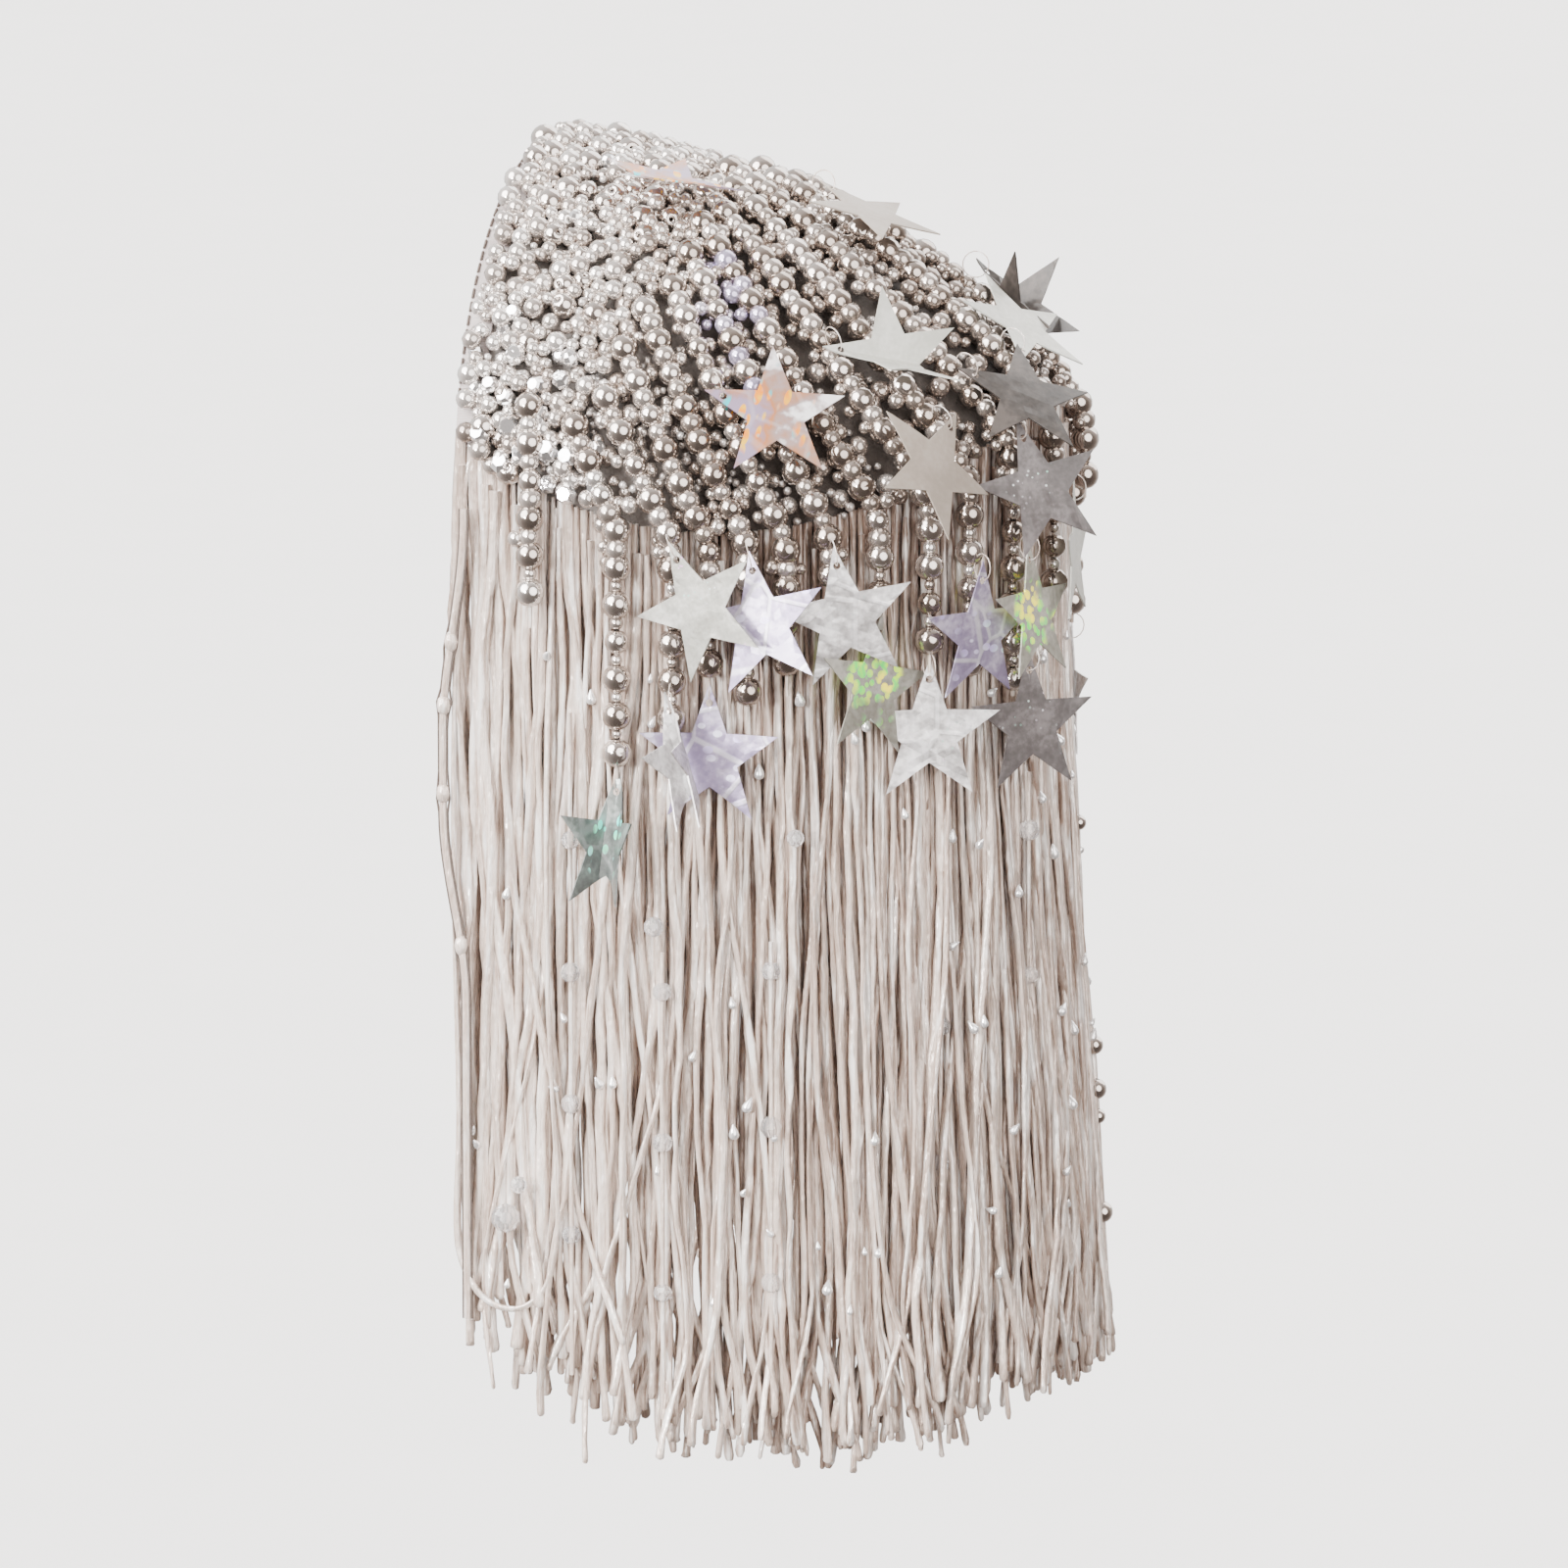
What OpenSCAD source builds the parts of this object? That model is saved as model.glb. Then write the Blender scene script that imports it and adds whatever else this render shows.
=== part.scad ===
// Fringe epaulette for the left shoulder: a domed board that sits on the shoulder,
// paved with beads, hung with bead strands and foil stars, over a long cord fringe.
// Millimetres. x runs out along the shoulder, -y is the front, +z is up.
// The origin is where the lining's underside rests on top of the shoulder.

/* [Board] */
// Fall of the board's ridge towards the arm, degrees
ridge_fall = 14; // [12:1:16]
// Height of the ridge's inner end above the axis that the dome turns round
axis_depth = 64; // [62:1:66]
// Radius of the dome's long profile
profile_r = 159; // [150:1:170]
// Place of the profile's centre along the axis
profile_s = 12; // [8:1:16]
// Distance of the profile's centre below the axis
profile_drop = 94.5; // [90:0.5:98]
// Thickness of the board
board_t = 2.4; // [2:0.1:3]
// Thickness of the lining
lining_t = 1; // [0.8:0.1:1.2]
// Distance from the inner edge to the point that rests on the shoulder
seat_in = 30; // [20:1:40]

/* [Rim] */
// Radius of the arc that the rim follows, seen from the front
rim_r = 82; // [80:1:86]
// Place of that arc's centre out from the inner edge
rim_out = 52; // [50:1:56]
// Height of that arc's centre above the ridge's inner end
rim_up = 10; // [8:1:12]

/* [Skins] */
// Thickness of the bead carpet
carpet_t = 2; // [1.5:0.1:2.5]
// Bare strip between the inner edge and the bead carpet
carpet_in = 4.6; // [4:0.1:8]
// Distance of the bead carpet's lower edge above the rim
carpet_up = 2; // [1:0.5:6]
// Thickness of the binding
binding_t = 1; // [0.8:0.1:1.2]
// Width of the binding on the board's face
binding_w = 4; // [3:0.5:4]

/* [Fringe] */
// Thickness of the curtain of cords
fringe_t = 5.5; // [4:0.5:7]
// Mean distance of the curtain's outer face outside the rim
fringe_out = 1; // [0.5:0.1:1.5]
// Number of folds round the curtain
fold_count = 72; // [40:1:90]
// Depth of a fold
fold_depth = 0.8; // [0.4:0.1:1.2]
// Radius of the arc that the cord ends follow, seen from the front
tips_r = 94; // [90:1:100]
// Place of that arc's centre out from the inner edge
tips_out = 68; // [60:1:72]
// Height of that arc's centre, below the ridge's inner end
tips_down = 165; // [120:1:190]

/* [Beads] */
// Radius of a large silver bead
bead_r = 3; // [2.6:0.1:3]
// Radius of the small bead that comes once in every four of a strand
small_bead_r = 2.5; // [2:0.1:3]
// Distance between large beads along a strand
bead_pitch = 7.5; // [7:0.1:9]
// Radius of the seed beads and thread between large beads
thread_r = 0.8; // [0.5:0.1:1]
// Height of a draped bead's centre above the board's face
drape_h = 5.4; // [5.4:0.1:6]
// Distance of a hanging bead's centre outside the rim
hang_out = 5.6; // [5.4:0.1:6]

/* [Stars] */
// Radius of a star to its points
star_r = 15; // [12:0.5:15]
// Radius of a star to the corners between its points
star_inner_r = 6; // [5:0.5:7]
// Thickness of the foil
star_t = 0.5; // [0.3:0.1:0.6]
// Distance of the star's hole from its top point
hole_in = 4; // [3.5:0.1:4.2]
// Radius of the star's hole
hole_r = 0.8; // [0.7:0.1:0.9]
// Radius of the thread ring that carries a star, at the middle of the thread
ring_r = 2.7; // [2.6:0.1:2.9]
// Radius of that ring's thread
ring_thread_r = 0.3; // [0.2:0.05:0.35]

/* [Crystals] */
// Radius of a crystal bead on the fringe
crystal_r = 2.1; // [1.5:0.1:2.2]
// Radius of the cord that carries the crystals
crystal_cord_r = 0.6; // [0.5:0.1:0.7]
// Distance of a crystal cord's middle outside the rim
crystal_out = 3.8; // [3.8:0.1:4.2]

/* [Hidden] */
// Space left between neighbouring pieces, and between the curtain and the rim
gap = 0.2;
edge_gap = 0.3;
// How far a star's ring sinks into its bead
ring_bite = 0.45;
// Extra length on a cutting block, so that its faces pass the piece's own
cut_over = 1;
// Longer than any piece, for cutting blocks
far = 400;
smooth = 96;
bead_smooth = 32;
// Columns: rim place out from the inner edge, side (1 front, -1 back), place along the
// dome's axis and turn round it where the strand starts, length below the rim
STRANDS = [
    [16, 1, 10, 72, 26],
    [33, 1, 20, 73, 50],
    [43.5, 1, 24, 67, 40],
    [50.5, 1, 24, 58, 26],
    [57.5, 1, 25, 50, 32],
    [64.5, 1, 28, 44, 32],
    [72, 1, 28, 36, 16],
    [80.5, 1, 27, 28, 20],
    [88.5, 1, 24, 19, 36],
    [94.5, 1, 28, 14, 38],
    [100.5, 1, 24, 6, 50],
    [105, 1, 32, 0, 34],
    [105, -1, 27, -6, 18],
    [99, -1, 35, -13, 42],
    [90, -1, 30, -20, 24],
    [80, -1, 34, -30, 40],
    [69, -1, 26, -37, 14],
    [58, -1, 26, -46, 34],
    [47, -1, 22, -55, 22],
    [35, -1, 20, -64, 44],
    [22, -1, 14, -70, 28],
];
// Columns: strand, bead that the ring is tied to (-1 the last), lift of the ring off the
// strand, turn of the star about its length, tilt away from the board, swing in its plane
STARS = [
    [6, 3, 60, -6, -3, 52],
    [9, 6, 60, -2, -6, 58],
    [10, 9, 60, -15, 6, -64],
    [7, 9, 60, 0, -8, 0],
    [11, 11, 60, 13, -6, -15],
    [12, 8, 60, -4, -4, 121],
    [3, 4, 60, 24, 10, 6],
    [9, -1, 0, 18, 0, 0],
    [8, -1, 0, -23, 8, -12],
    [11, -2, 60, 16, 5, 0],
    [11, 14, 60, -12, 8, 0],
    [4, -1, 0, 12, 0, 0],
    [2, -1, 0, 8, 12, -4],
    [5, 7, 60, 20, 14, 0],
    [3, 8, 60, 34, 0, 16],
    [12, 1, 55, 5, 1, -9],
    [11, 9, 60, -2, 10, 28],
    [13, 6, 60, 20, -16, -32],
    [10, 13, 60, -7, -3, 0],
    [9, 0, 60, 31, -1, -117],
    [12, 12, 60, -18, 1, 0],
    [14, -1, 0, 10, 0, 0],
    [16, 5, 60, 8, -4, 30],
    [16, -1, 0, -14, 0, 0],
    [18, -1, 0, 12, 0, 0],
];
// Columns: turn round the curtain from the outer end (back positive), top and bottom of the
// cord below the rim, first crystal below the rim, distance between crystals, their number
CRYSTAL_CORDS = [
    [-98, 12, 178, 38, 31, 3],
    [-86, 40, 176, 66, 27, 4],
    [-75, 84, 180, 92, 31, 3],
    [-61, 82, 178, 88, 32, 3],
    [-35, 80, 188, 112, 28, 3],
    [-15, 72, 190, 84, 30, 4],
    [18, 60, 186, 96, 24, 3],
    [68, 56, 178, 84, 30, 3],
];

function numbered(name, i) = str(name, i < 10 ? "0" : "", i);
function mix(a, b, u) = a + (b - a) * u;
function unit(v) = v / norm(v);

// The dome's profile, as distance from the axis and place along it, in short straight steps
// from its inner end to its outer end
profile_steps = 18;
inner_lean = -26;
outer_lean = 40;
function profile_lean(k) = mix(inner_lean, outer_lean, k / profile_steps);
function profile_at(lean, h) = [
    (profile_r + h) * cos(lean) - profile_drop,
    (profile_r + h) * sin(lean) + profile_s,
];

// A point on the dome, from its place along the axis, its turn to the front and its height
// off the board's face
function dome_at(s, turn, h) =
    let (p = profile_at(asin((s - profile_s) / profile_r), h))
    [
        p.y * cos(ridge_fall) + p.x * cos(turn) * sin(ridge_fall),
        -p.x * sin(turn),
        p.x * cos(turn) * cos(ridge_fall) - p.y * sin(ridge_fall) - axis_depth,
    ];

// The way off the dome's face at a point near it
function dome_normal(p) =
    let (axis = [cos(ridge_fall), 0, -sin(ridge_fall)])
    let (q = p + [0, 0, axis_depth])
    let (away = q - (q * axis) * axis)
    unit((q * axis - profile_s) * axis + (norm(away) + profile_drop) * unit(away));

// Height of the rim, and the dome's place, width and turn there
function rim_z(x) = rim_up - sqrt(rim_r * rim_r - (x - rim_out) * (x - rim_out));
function rim_s(x) = x * cos(ridge_fall) - (rim_z(x) + axis_depth) * sin(ridge_fall);
function rim_width(x) = sqrt(pow(profile_r, 2) - pow(rim_s(x) - profile_s, 2)) - profile_drop;
function rim_height(x) = x * sin(ridge_fall) + (rim_z(x) + axis_depth) * cos(ridge_fall);
function rim_turn(x) = acos(rim_height(x) / rim_width(x));
function rim_at(x, side) = [x, -side * rim_width(x) * sin(rim_turn(x)), rim_z(x)];

// The rim in plan is close to a rounded oval
oval_x = 16;
oval_a = 90;
oval_b = 64.2;
oval_power = 2.12;
function signed_power(v, n) = sign(v) * pow(abs(v), n);
function oval_at(turn, out) = [
    oval_x + (oval_a + out) * signed_power(cos(turn), 2 / oval_power),
    (oval_b + out) * signed_power(sin(turn), 2 / oval_power),
];
function plan_normal(p) = unit([
    signed_power((p.x - oval_x) / oval_a, oval_power - 1) / oval_a,
    signed_power(p.y / oval_b, oval_power - 1) / oval_b,
    0,
]);
function outside_rim(x, side, out) = rim_at(x, side) + out * plan_normal(rim_at(x, side));

// The lining's underside on the ridge, at seat_in from the inner edge
seat_r = profile_r - board_t - gap - lining_t;
seat_lean = asin((seat_in - profile_s * cos(ridge_fall) + profile_drop * sin(ridge_fall)) / seat_r)
    - ridge_fall;
seat_z = (seat_r * cos(seat_lean) - profile_drop) * cos(ridge_fall)
    - (profile_s + seat_r * sin(seat_lean)) * sin(ridge_fall) - axis_depth;

// A strand lies on the dome to just short of the rim, bends over it and hangs
drape_steps = 24;
bend_steps = 8;
drape_end = 0.94;
bend_drop = 6;
function draped(row, u) = dome_at(
    mix(row[2], rim_s(row[0]), u),
    mix(row[3], row[1] * rim_turn(row[0]), u),
    drape_h
);
function bend(a, ta, b, tb, u) =
    (2 * pow(u, 3) - 3 * u * u + 1) * a + (pow(u, 3) - 2 * u * u + u) * ta
    + (3 * u * u - 2 * pow(u, 3)) * b + (pow(u, 3) - u * u) * tb;
function strand_way(row) =
    let (over = [for (i = [0:drape_steps]) draped(row, drape_end * i / drape_steps)])
    let (a = over[drape_steps])
    let (b = outside_rim(row[0], row[1], hang_out) - [0, 0, bend_drop])
    let (pull = norm(b - a))
    let (ta = pull * unit(a - over[drape_steps - 1]))
    concat(
        over,
        [for (i = [1:bend_steps]) bend(a, ta, b, [0, 0, -pull], i / bend_steps)],
        row[4] > bend_drop ? [b - [0, 0, row[4] - bend_drop]] : []
    );

// Running length at each point of a line, and the point and direction at a length along it
function lengths(way) =
    let (steps = [for (i = [1:len(way) - 1]) norm(way[i] - way[i - 1])])
    [for (i = 0, run = 0; i <= len(steps); run = run + (i < len(steps) ? steps[i] : 0), i = i + 1) run];
function leg_at(runs, d) = max([for (i = [0:len(runs) - 2]) runs[i] <= d ? i : 0]);
function point_at(way, runs, d) =
    let (i = leg_at(runs, d))
    mix(way[i], way[i + 1], (d - runs[i]) / (runs[i + 1] - runs[i]));
function heading_at(way, runs, d) =
    let (i = leg_at(runs, d))
    unit(way[i + 1] - way[i]);

// Bead centres of a strand, each with the thread's heading and the way off the board there.
// A bead this far below the rim hangs clear of the dome
clear_drop = 4;
function beads_of(row) =
    let (way = strand_way(row))
    let (runs = lengths(way))
    let (foot = outside_rim(row[0], row[1], hang_out))
    [
        for (j = [0:floor(runs[len(runs) - 1] / bead_pitch)])
            let (p = point_at(way, runs, j * bead_pitch))
            let (t = heading_at(way, runs, j * bead_pitch))
            let (n = p.z < rim_z(row[0]) - clear_drop ? plan_normal(foot) : dome_normal(p))
            [p, t, unit(n - (n * t) * t)],
    ];

// The bead that a star's ring is tied to
function tie_of(star_row) =
    let (beads = beads_of(STRANDS[star_row[0] - 1]))
    beads[star_row[1] < 0 ? len(beads) + star_row[1] : star_row[1]];

// Moves a piece from the drawing, where the ridge's inner end is the origin, to the seat
module from_seat() {
    translate([-seat_in, 0, -seat_z]) children();
}

// Shell of the dome between two heights off the board's face
module dome_shell(low, high) {
    translate([0, 0, -axis_depth])
        rotate([0, 90 + ridge_fall, 0])
        rotate_extrude($fn = smooth)
        polygon(concat(
            [for (k = [0:profile_steps]) profile_at(profile_lean(k), high)],
            [for (k = [profile_steps:-1:0]) profile_at(profile_lean(k), low)]
        ));
}

// Everything above the rim's arc, less a margin, and outward of a line
module above_rim(margin, from_x) {
    intersection() {
        translate([rim_out, far / 2, rim_up])
            rotate([90, 0, 0])
            cylinder(r = rim_r - margin, h = far, $fn = 2 * smooth);
        translate([from_x, -far / 2, -far / 2]) cube(far);
    }
}

module board() {
    color("dimgray")
        from_seat()
        intersection() {
            dome_shell(-board_t, 0);
            above_rim(0, 0);
        }
}

module lining() {
    color("tan")
        from_seat()
        intersection() {
            dome_shell(-board_t - gap - lining_t, -board_t - gap);
            above_rim(0, 0);
        }
}

// A strip folded over the inner edge, so that it has a face, an edge and an inner leg
module inner_binding() {
    inside = board_t + lining_t + 2 * gap;
    color("thistle")
        from_seat()
        difference() {
            intersection() {
                dome_shell(-inside - binding_t, gap + binding_t);
                above_rim(0, -gap - binding_t);
                translate([-far + binding_w, -far / 2, -far / 2]) cube(far);
            }
            intersection() {
                dome_shell(-inside, gap);
                above_rim(-cut_over, -gap);
            }
        }
}

module bead_carpet() {
    color("silver")
        from_seat()
        intersection() {
            dome_shell(gap, gap + carpet_t);
            above_rim(carpet_up, carpet_in);
        }
}

// The curtain in plan: folded outer face, plain inner face, open at the inner edge
module fringe_plan() {
    steps = 4 * fold_count;
    folds = [
        for (i = [0:steps - 1])
            let (turn = 360 * i / steps)
            oval_at(turn, fringe_out + fold_depth / 2 * cos(turn * fold_count))
    ];
    difference() {
        polygon(folds);
        polygon([for (i = [0:smooth - 1]) oval_at(360 * i / smooth, fringe_out - fringe_t)]);
        translate([-far, -far / 2]) square(far);
    }
}

// The curtain from the front: under the rim's arc, down to the arc of the cord ends. The last
// square clears what the circle leaves above it
module fringe_face() {
    difference() {
        union() {
            translate([tips_out, -tips_down]) circle(r = tips_r, $fn = 2 * smooth);
            translate([-far / 2, -tips_down]) square([far, tips_down]);
        }
        translate([rim_out, rim_up]) circle(r = rim_r + edge_gap, $fn = 2 * smooth);
        translate([-far / 2, -rim_r / 2]) square(far);
    }
}

module fringe() {
    color("linen")
        from_seat()
        intersection() {
            translate([0, 0, -far]) linear_extrude(far) fringe_plan();
            translate([0, far / 2, 0]) rotate([90, 0, 0]) linear_extrude(far) fringe_face();
        }
}

// A round bar between two points
module bar(a, b, r) {
    d = b - a;
    translate(a)
        rotate([0, acos(d.z / norm(d)), atan2(d.y, d.x)])
        cylinder(r = r, h = norm(d), $fn = bead_smooth);
}

// Puts a piece at a bead, its z along the thread and its x the way off the board
module along_thread(bead) {
    at = bead[0];
    heading = bead[1];
    off = bead[2];
    across = cross(heading, off);
    multmatrix([
        [off.x, across.x, heading.x, at.x],
        [off.y, across.y, heading.y, at.y],
        [off.z, across.z, heading.z, at.z],
    ]) children();
}

// Middle of a star's ring, from its bead
function ring_reach(lift) = (bead_r + ring_r - ring_bite) * [sin(lift), 0, cos(lift)];

module bead_strand(i) {
    beads = beads_of(STRANDS[i - 1]);
    last = len(beads) - 1;
    color("gainsboro")
        from_seat()
        union() {
            for (j = [0:last])
                along_thread(beads[j]) sphere(r = j % 4 == 2 ? small_bead_r : bead_r, $fn = bead_smooth);
            for (j = [1:last])
                bar(beads[j - 1][0], beads[j][0], thread_r);
            for (row = STARS)
                if (row[0] == i)
                    along_thread(tie_of(row))
                        translate(ring_reach(row[2]))
                        rotate([90, 0, 0])
                        rotate_extrude($fn = bead_smooth)
                        translate([ring_r, 0])
                        circle(r = ring_thread_r, $fn = bead_smooth);
        }
}

// A flat star in the plane of z and y, hung from its hole at the origin with its body along +z
module hung_star() {
    rotate([0, 90, 0])
        translate([-(star_r - hole_in), 0, -star_t / 2])
        difference() {
            linear_extrude(star_t)
                polygon([
                    for (k = [0:9])
                        let (r = k % 2 == 0 ? star_r : star_inner_r)
                        r * [cos(36 * k), sin(36 * k)]
                ]);
            translate([star_r - hole_in, 0, -cut_over])
                cylinder(r = hole_r, h = star_t + 2 * cut_over, $fn = bead_smooth);
        }
}

module star(i) {
    row = STARS[i - 1];
    color("lightsteelblue")
        from_seat()
        along_thread(tie_of(row))
        translate(ring_reach(row[2]) + [0, 0, ring_r])
        rotate([row[5], 0, 0])
        rotate([0, 0, row[3]])
        rotate([0, row[4], 0])
        hung_star();
}

module crystal_cord(i) {
    row = CRYSTAL_CORDS[i - 1];
    plan = oval_at(row[0], crystal_out);
    color("whitesmoke")
        from_seat()
        translate([plan.x, plan.y, rim_z(plan.x)])
        union() {
            translate([0, 0, -row[2]]) cylinder(r = crystal_cord_r, h = row[2] - row[1], $fn = bead_smooth);
            for (k = [0:row[5] - 1])
                translate([0, 0, -row[3] - k * row[4]]) sphere(r = crystal_r, $fn = bead_smooth);
        }
}

board();
lining();
inner_binding();
bead_carpet();
fringe();
for (i = [1:len(STRANDS)])
    bead_strand(i);
for (i = [1:len(STARS)])
    star(i);
for (i = [1:len(CRYSTAL_CORDS)])
    crystal_cord(i);
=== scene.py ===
from math import asin, cos, pi, radians, sin, sqrt, tan

import bpy
import numpy as np
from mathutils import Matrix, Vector
from mathutils.geometry import delaunay_2d_cdt
from numpy.linalg import norm


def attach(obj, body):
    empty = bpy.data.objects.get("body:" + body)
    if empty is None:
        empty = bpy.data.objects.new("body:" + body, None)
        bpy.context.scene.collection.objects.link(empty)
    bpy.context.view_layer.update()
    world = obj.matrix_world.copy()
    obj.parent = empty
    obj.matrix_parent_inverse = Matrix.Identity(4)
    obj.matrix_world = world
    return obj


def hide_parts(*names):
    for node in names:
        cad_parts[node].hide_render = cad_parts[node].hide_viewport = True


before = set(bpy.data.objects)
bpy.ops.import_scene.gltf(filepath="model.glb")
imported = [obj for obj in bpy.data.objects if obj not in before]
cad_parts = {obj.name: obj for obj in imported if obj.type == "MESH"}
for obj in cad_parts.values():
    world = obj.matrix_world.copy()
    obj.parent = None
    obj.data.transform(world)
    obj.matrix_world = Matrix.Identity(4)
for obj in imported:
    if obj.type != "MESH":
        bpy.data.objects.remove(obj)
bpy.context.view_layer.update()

# Sizes of the part, in millimetres, as its source has them
RIDGE_FALL = radians(14)
AXIS_DEPTH = 64
PROFILE_R = 159
PROFILE_S = 12
PROFILE_DROP = 94.5
RIM_R = 82
RIM_OUT = 52
RIM_UP = 10
OVAL_X = 16
OVAL_A = 90
OVAL_B = 64.2
OVAL_POWER = 2.12
TIPS_R = 94
TIPS_OUT = 68
TIPS_DOWN = 165
BEAD_R = 3
SMALL_BEAD_R = 2.5
BEAD_PITCH = 7.5
DRAPE_H = 5.4
HANG_OUT = 5.6
BINDING_W = 4
STAR_R = 15
STAR_INNER_R = 6
HOLE_IN = 4
HOLE_R = 0.8
RING_R = 2.7
RING_SHOWN_R = 0.13
RING_BITE = 0.45
CRYSTAL_R = 2.1
CRYSTAL_OUT = 3.8
SEAT = np.array([-30, 0, 8.762])

# Rim place out from the inner edge, side, place along the axis and turn where it starts, drop
STRANDS = [
    (16, 1, 10, 72, 26),
    (33, 1, 20, 73, 50),
    (43.5, 1, 24, 67, 40),
    (50.5, 1, 24, 58, 26),
    (57.5, 1, 25, 50, 32),
    (64.5, 1, 28, 44, 32),
    (72, 1, 28, 36, 16),
    (80.5, 1, 27, 28, 20),
    (88.5, 1, 24, 19, 36),
    (94.5, 1, 28, 14, 38),
    (100.5, 1, 24, 6, 50),
    (105, 1, 32, 0, 34),
    (105, -1, 27, -6, 18),
    (99, -1, 35, -13, 42),
    (90, -1, 30, -20, 24),
    (80, -1, 34, -30, 40),
    (69, -1, 26, -37, 14),
    (58, -1, 26, -46, 34),
    (47, -1, 22, -55, 22),
    (35, -1, 20, -64, 44),
    (22, -1, 14, -70, 28),
]
# Strand, bead that the ring is tied to, lift of the ring, turn, tilt and swing of the star, foil
STARS = [
    (6, 3, 60, -6, -3, 52, "peach"),
    (9, 6, 60, -2, -6, 58, "white"),
    (10, 9, 60, -15, 6, -64, "taupe"),
    (7, 9, 60, 0, -8, 0, "silver"),
    (11, 11, 60, 13, -6, -15, "grey"),
    (12, 8, 60, -4, -4, 121, "white"),
    (3, 4, 60, 24, 10, 6, "silver"),
    (9, -1, 0, 18, 0, 0, "silver"),
    (8, -1, 0, -23, 8, -12, "lime"),
    (11, -2, 60, 16, 5, 0, "grey"),
    (11, 14, 60, -12, 8, 0, "lime"),
    (4, -1, 0, 12, 0, 0, "lilac"),
    (2, -1, 0, 8, 12, -4, "teal"),
    (5, 7, 60, 20, 14, 0, "lilac"),
    (3, 8, 60, 34, 0, 16, "silver"),
    (12, 1, 55, 5, 1, -9, "taupe"),
    (11, 9, 60, -2, 10, 28, "grey"),
    (13, 6, 60, 20, -16, -32, "silver"),
    (10, 13, 60, -7, -3, 0, "lilac"),
    (9, 0, 60, 31, -1, -117, "peach"),
    (12, 12, 60, -18, 1, 0, "white"),
    (14, -1, 0, 10, 0, 0, "silver"),
    (16, 5, 60, 8, -4, 30, "white"),
    (16, -1, 0, -14, 0, 0, "teal"),
    (18, -1, 0, 12, 0, 0, "lilac"),
]
# How far each foil is crumpled, in millimetres
CRUMPLE = {
    "silver": 0.045, "white": 0.012, "grey": 0.02, "taupe": 0.006, "lilac": 0.035, "peach": 0.025,
    "lime": 0.025, "teal": 0.03,
}
# Stars folded along their length: degrees of each half, and radius of the fold
FOLDS = {2: (34, 48), 13: (62, 62), 15: (62, 104), 18: (58, 66), 20: (0, 22)}
FOLD_R = 2
# Stars whose film looks a little different from the others of their foil. Stars 17 and 18 get a dark film as
# painted shade
OTHER_FILMS = {4: "bright", 7: "sage", 8: "bright", 15: "bright", 17: "bronze", 18: "bronze"}
# Turn round the curtain, top and bottom of the cord, first crystal, their spacing and number
CRYSTAL_CORDS = [
    (-98, 12, 178, 38, 31, 3),
    (-86, 40, 176, 66, 27, 4),
    (-75, 84, 180, 92, 31, 3),
    (-61, 82, 178, 88, 32, 3),
    (-35, 80, 188, 112, 28, 3),
    (-15, 72, 190, 84, 30, 4),
    (18, 60, 186, 96, 24, 3),
    (68, 56, 178, 84, 30, 3),
]


def seated(points):
    """Drawing millimetres, from the ridge's inner end, to metres from the seat."""
    return (np.asarray(points, float) + SEAT) / 1000


def unit(v):
    v = np.asarray(v, float)
    return v / np.maximum(norm(v, axis=-1, keepdims=True), 1e-9)


def smooth(low, high, v):
    """A soft step from 0 at low to 1 at high."""
    u = np.clip((np.asarray(v, float) - low) / (high - low), 0, 1)
    return u * u * (3 - 2 * u)


# The dome, its rim and the curtain's plan
def width_at(s):
    """How far the dome's face is from its axis, at a place along it."""
    return np.sqrt(np.maximum(PROFILE_R**2 - (s - PROFILE_S) ** 2, 0)) - PROFILE_DROP


def dome_at(s, turn, h):
    """Point on the dome, from its place along the axis, its turn to the front and its height."""
    s, turn, h = np.broadcast_arrays(np.asarray(s, float), turn, h)
    lean = np.arcsin((s - PROFILE_S) / PROFILE_R)
    out = (PROFILE_R + h) * np.cos(lean) - PROFILE_DROP
    along = (PROFILE_R + h) * np.sin(lean) + PROFILE_S
    up = out * np.cos(turn)
    x = along * cos(RIDGE_FALL) + up * sin(RIDGE_FALL)
    z = up * cos(RIDGE_FALL) - along * sin(RIDGE_FALL) - AXIS_DEPTH
    return np.stack([x, -out * np.sin(turn), z], -1)


def dome_normal(p):
    axis = np.array([cos(RIDGE_FALL), 0, -sin(RIDGE_FALL)])
    q = np.asarray(p, float) + [0, 0, AXIS_DEPTH]
    along = q @ axis
    away = q - along[..., None] * axis
    reach = norm(away, axis=-1, keepdims=True)
    return unit((along[..., None] - PROFILE_S) * axis + (reach + PROFILE_DROP) * away / reach)


def rim_z(x):
    return RIM_UP - np.sqrt(np.maximum(RIM_R**2 - (np.asarray(x, float) - RIM_OUT) ** 2, 0))


def rim_s(x):
    return x * cos(RIDGE_FALL) - (rim_z(x) + AXIS_DEPTH) * sin(RIDGE_FALL)


def rim_turn(x):
    height = x * sin(RIDGE_FALL) + (rim_z(x) + AXIS_DEPTH) * cos(RIDGE_FALL)
    return np.arccos(np.clip(height / width_at(rim_s(x)), -1, 1))


def rim_at(x, side):
    return np.array([x, -side * width_at(rim_s(x)) * np.sin(rim_turn(x)), rim_z(x)])


def signed_power(v, n):
    return np.sign(v) * np.abs(v) ** n


def oval_at(turn, out):
    """Point of the curtain's plan, at a turn from the outer end and a distance off the rim."""
    x = OVAL_X + (OVAL_A + out) * signed_power(np.cos(turn), 2 / OVAL_POWER)
    y = (OVAL_B + out) * signed_power(np.sin(turn), 2 / OVAL_POWER)
    return np.stack([x, y], -1)


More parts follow.
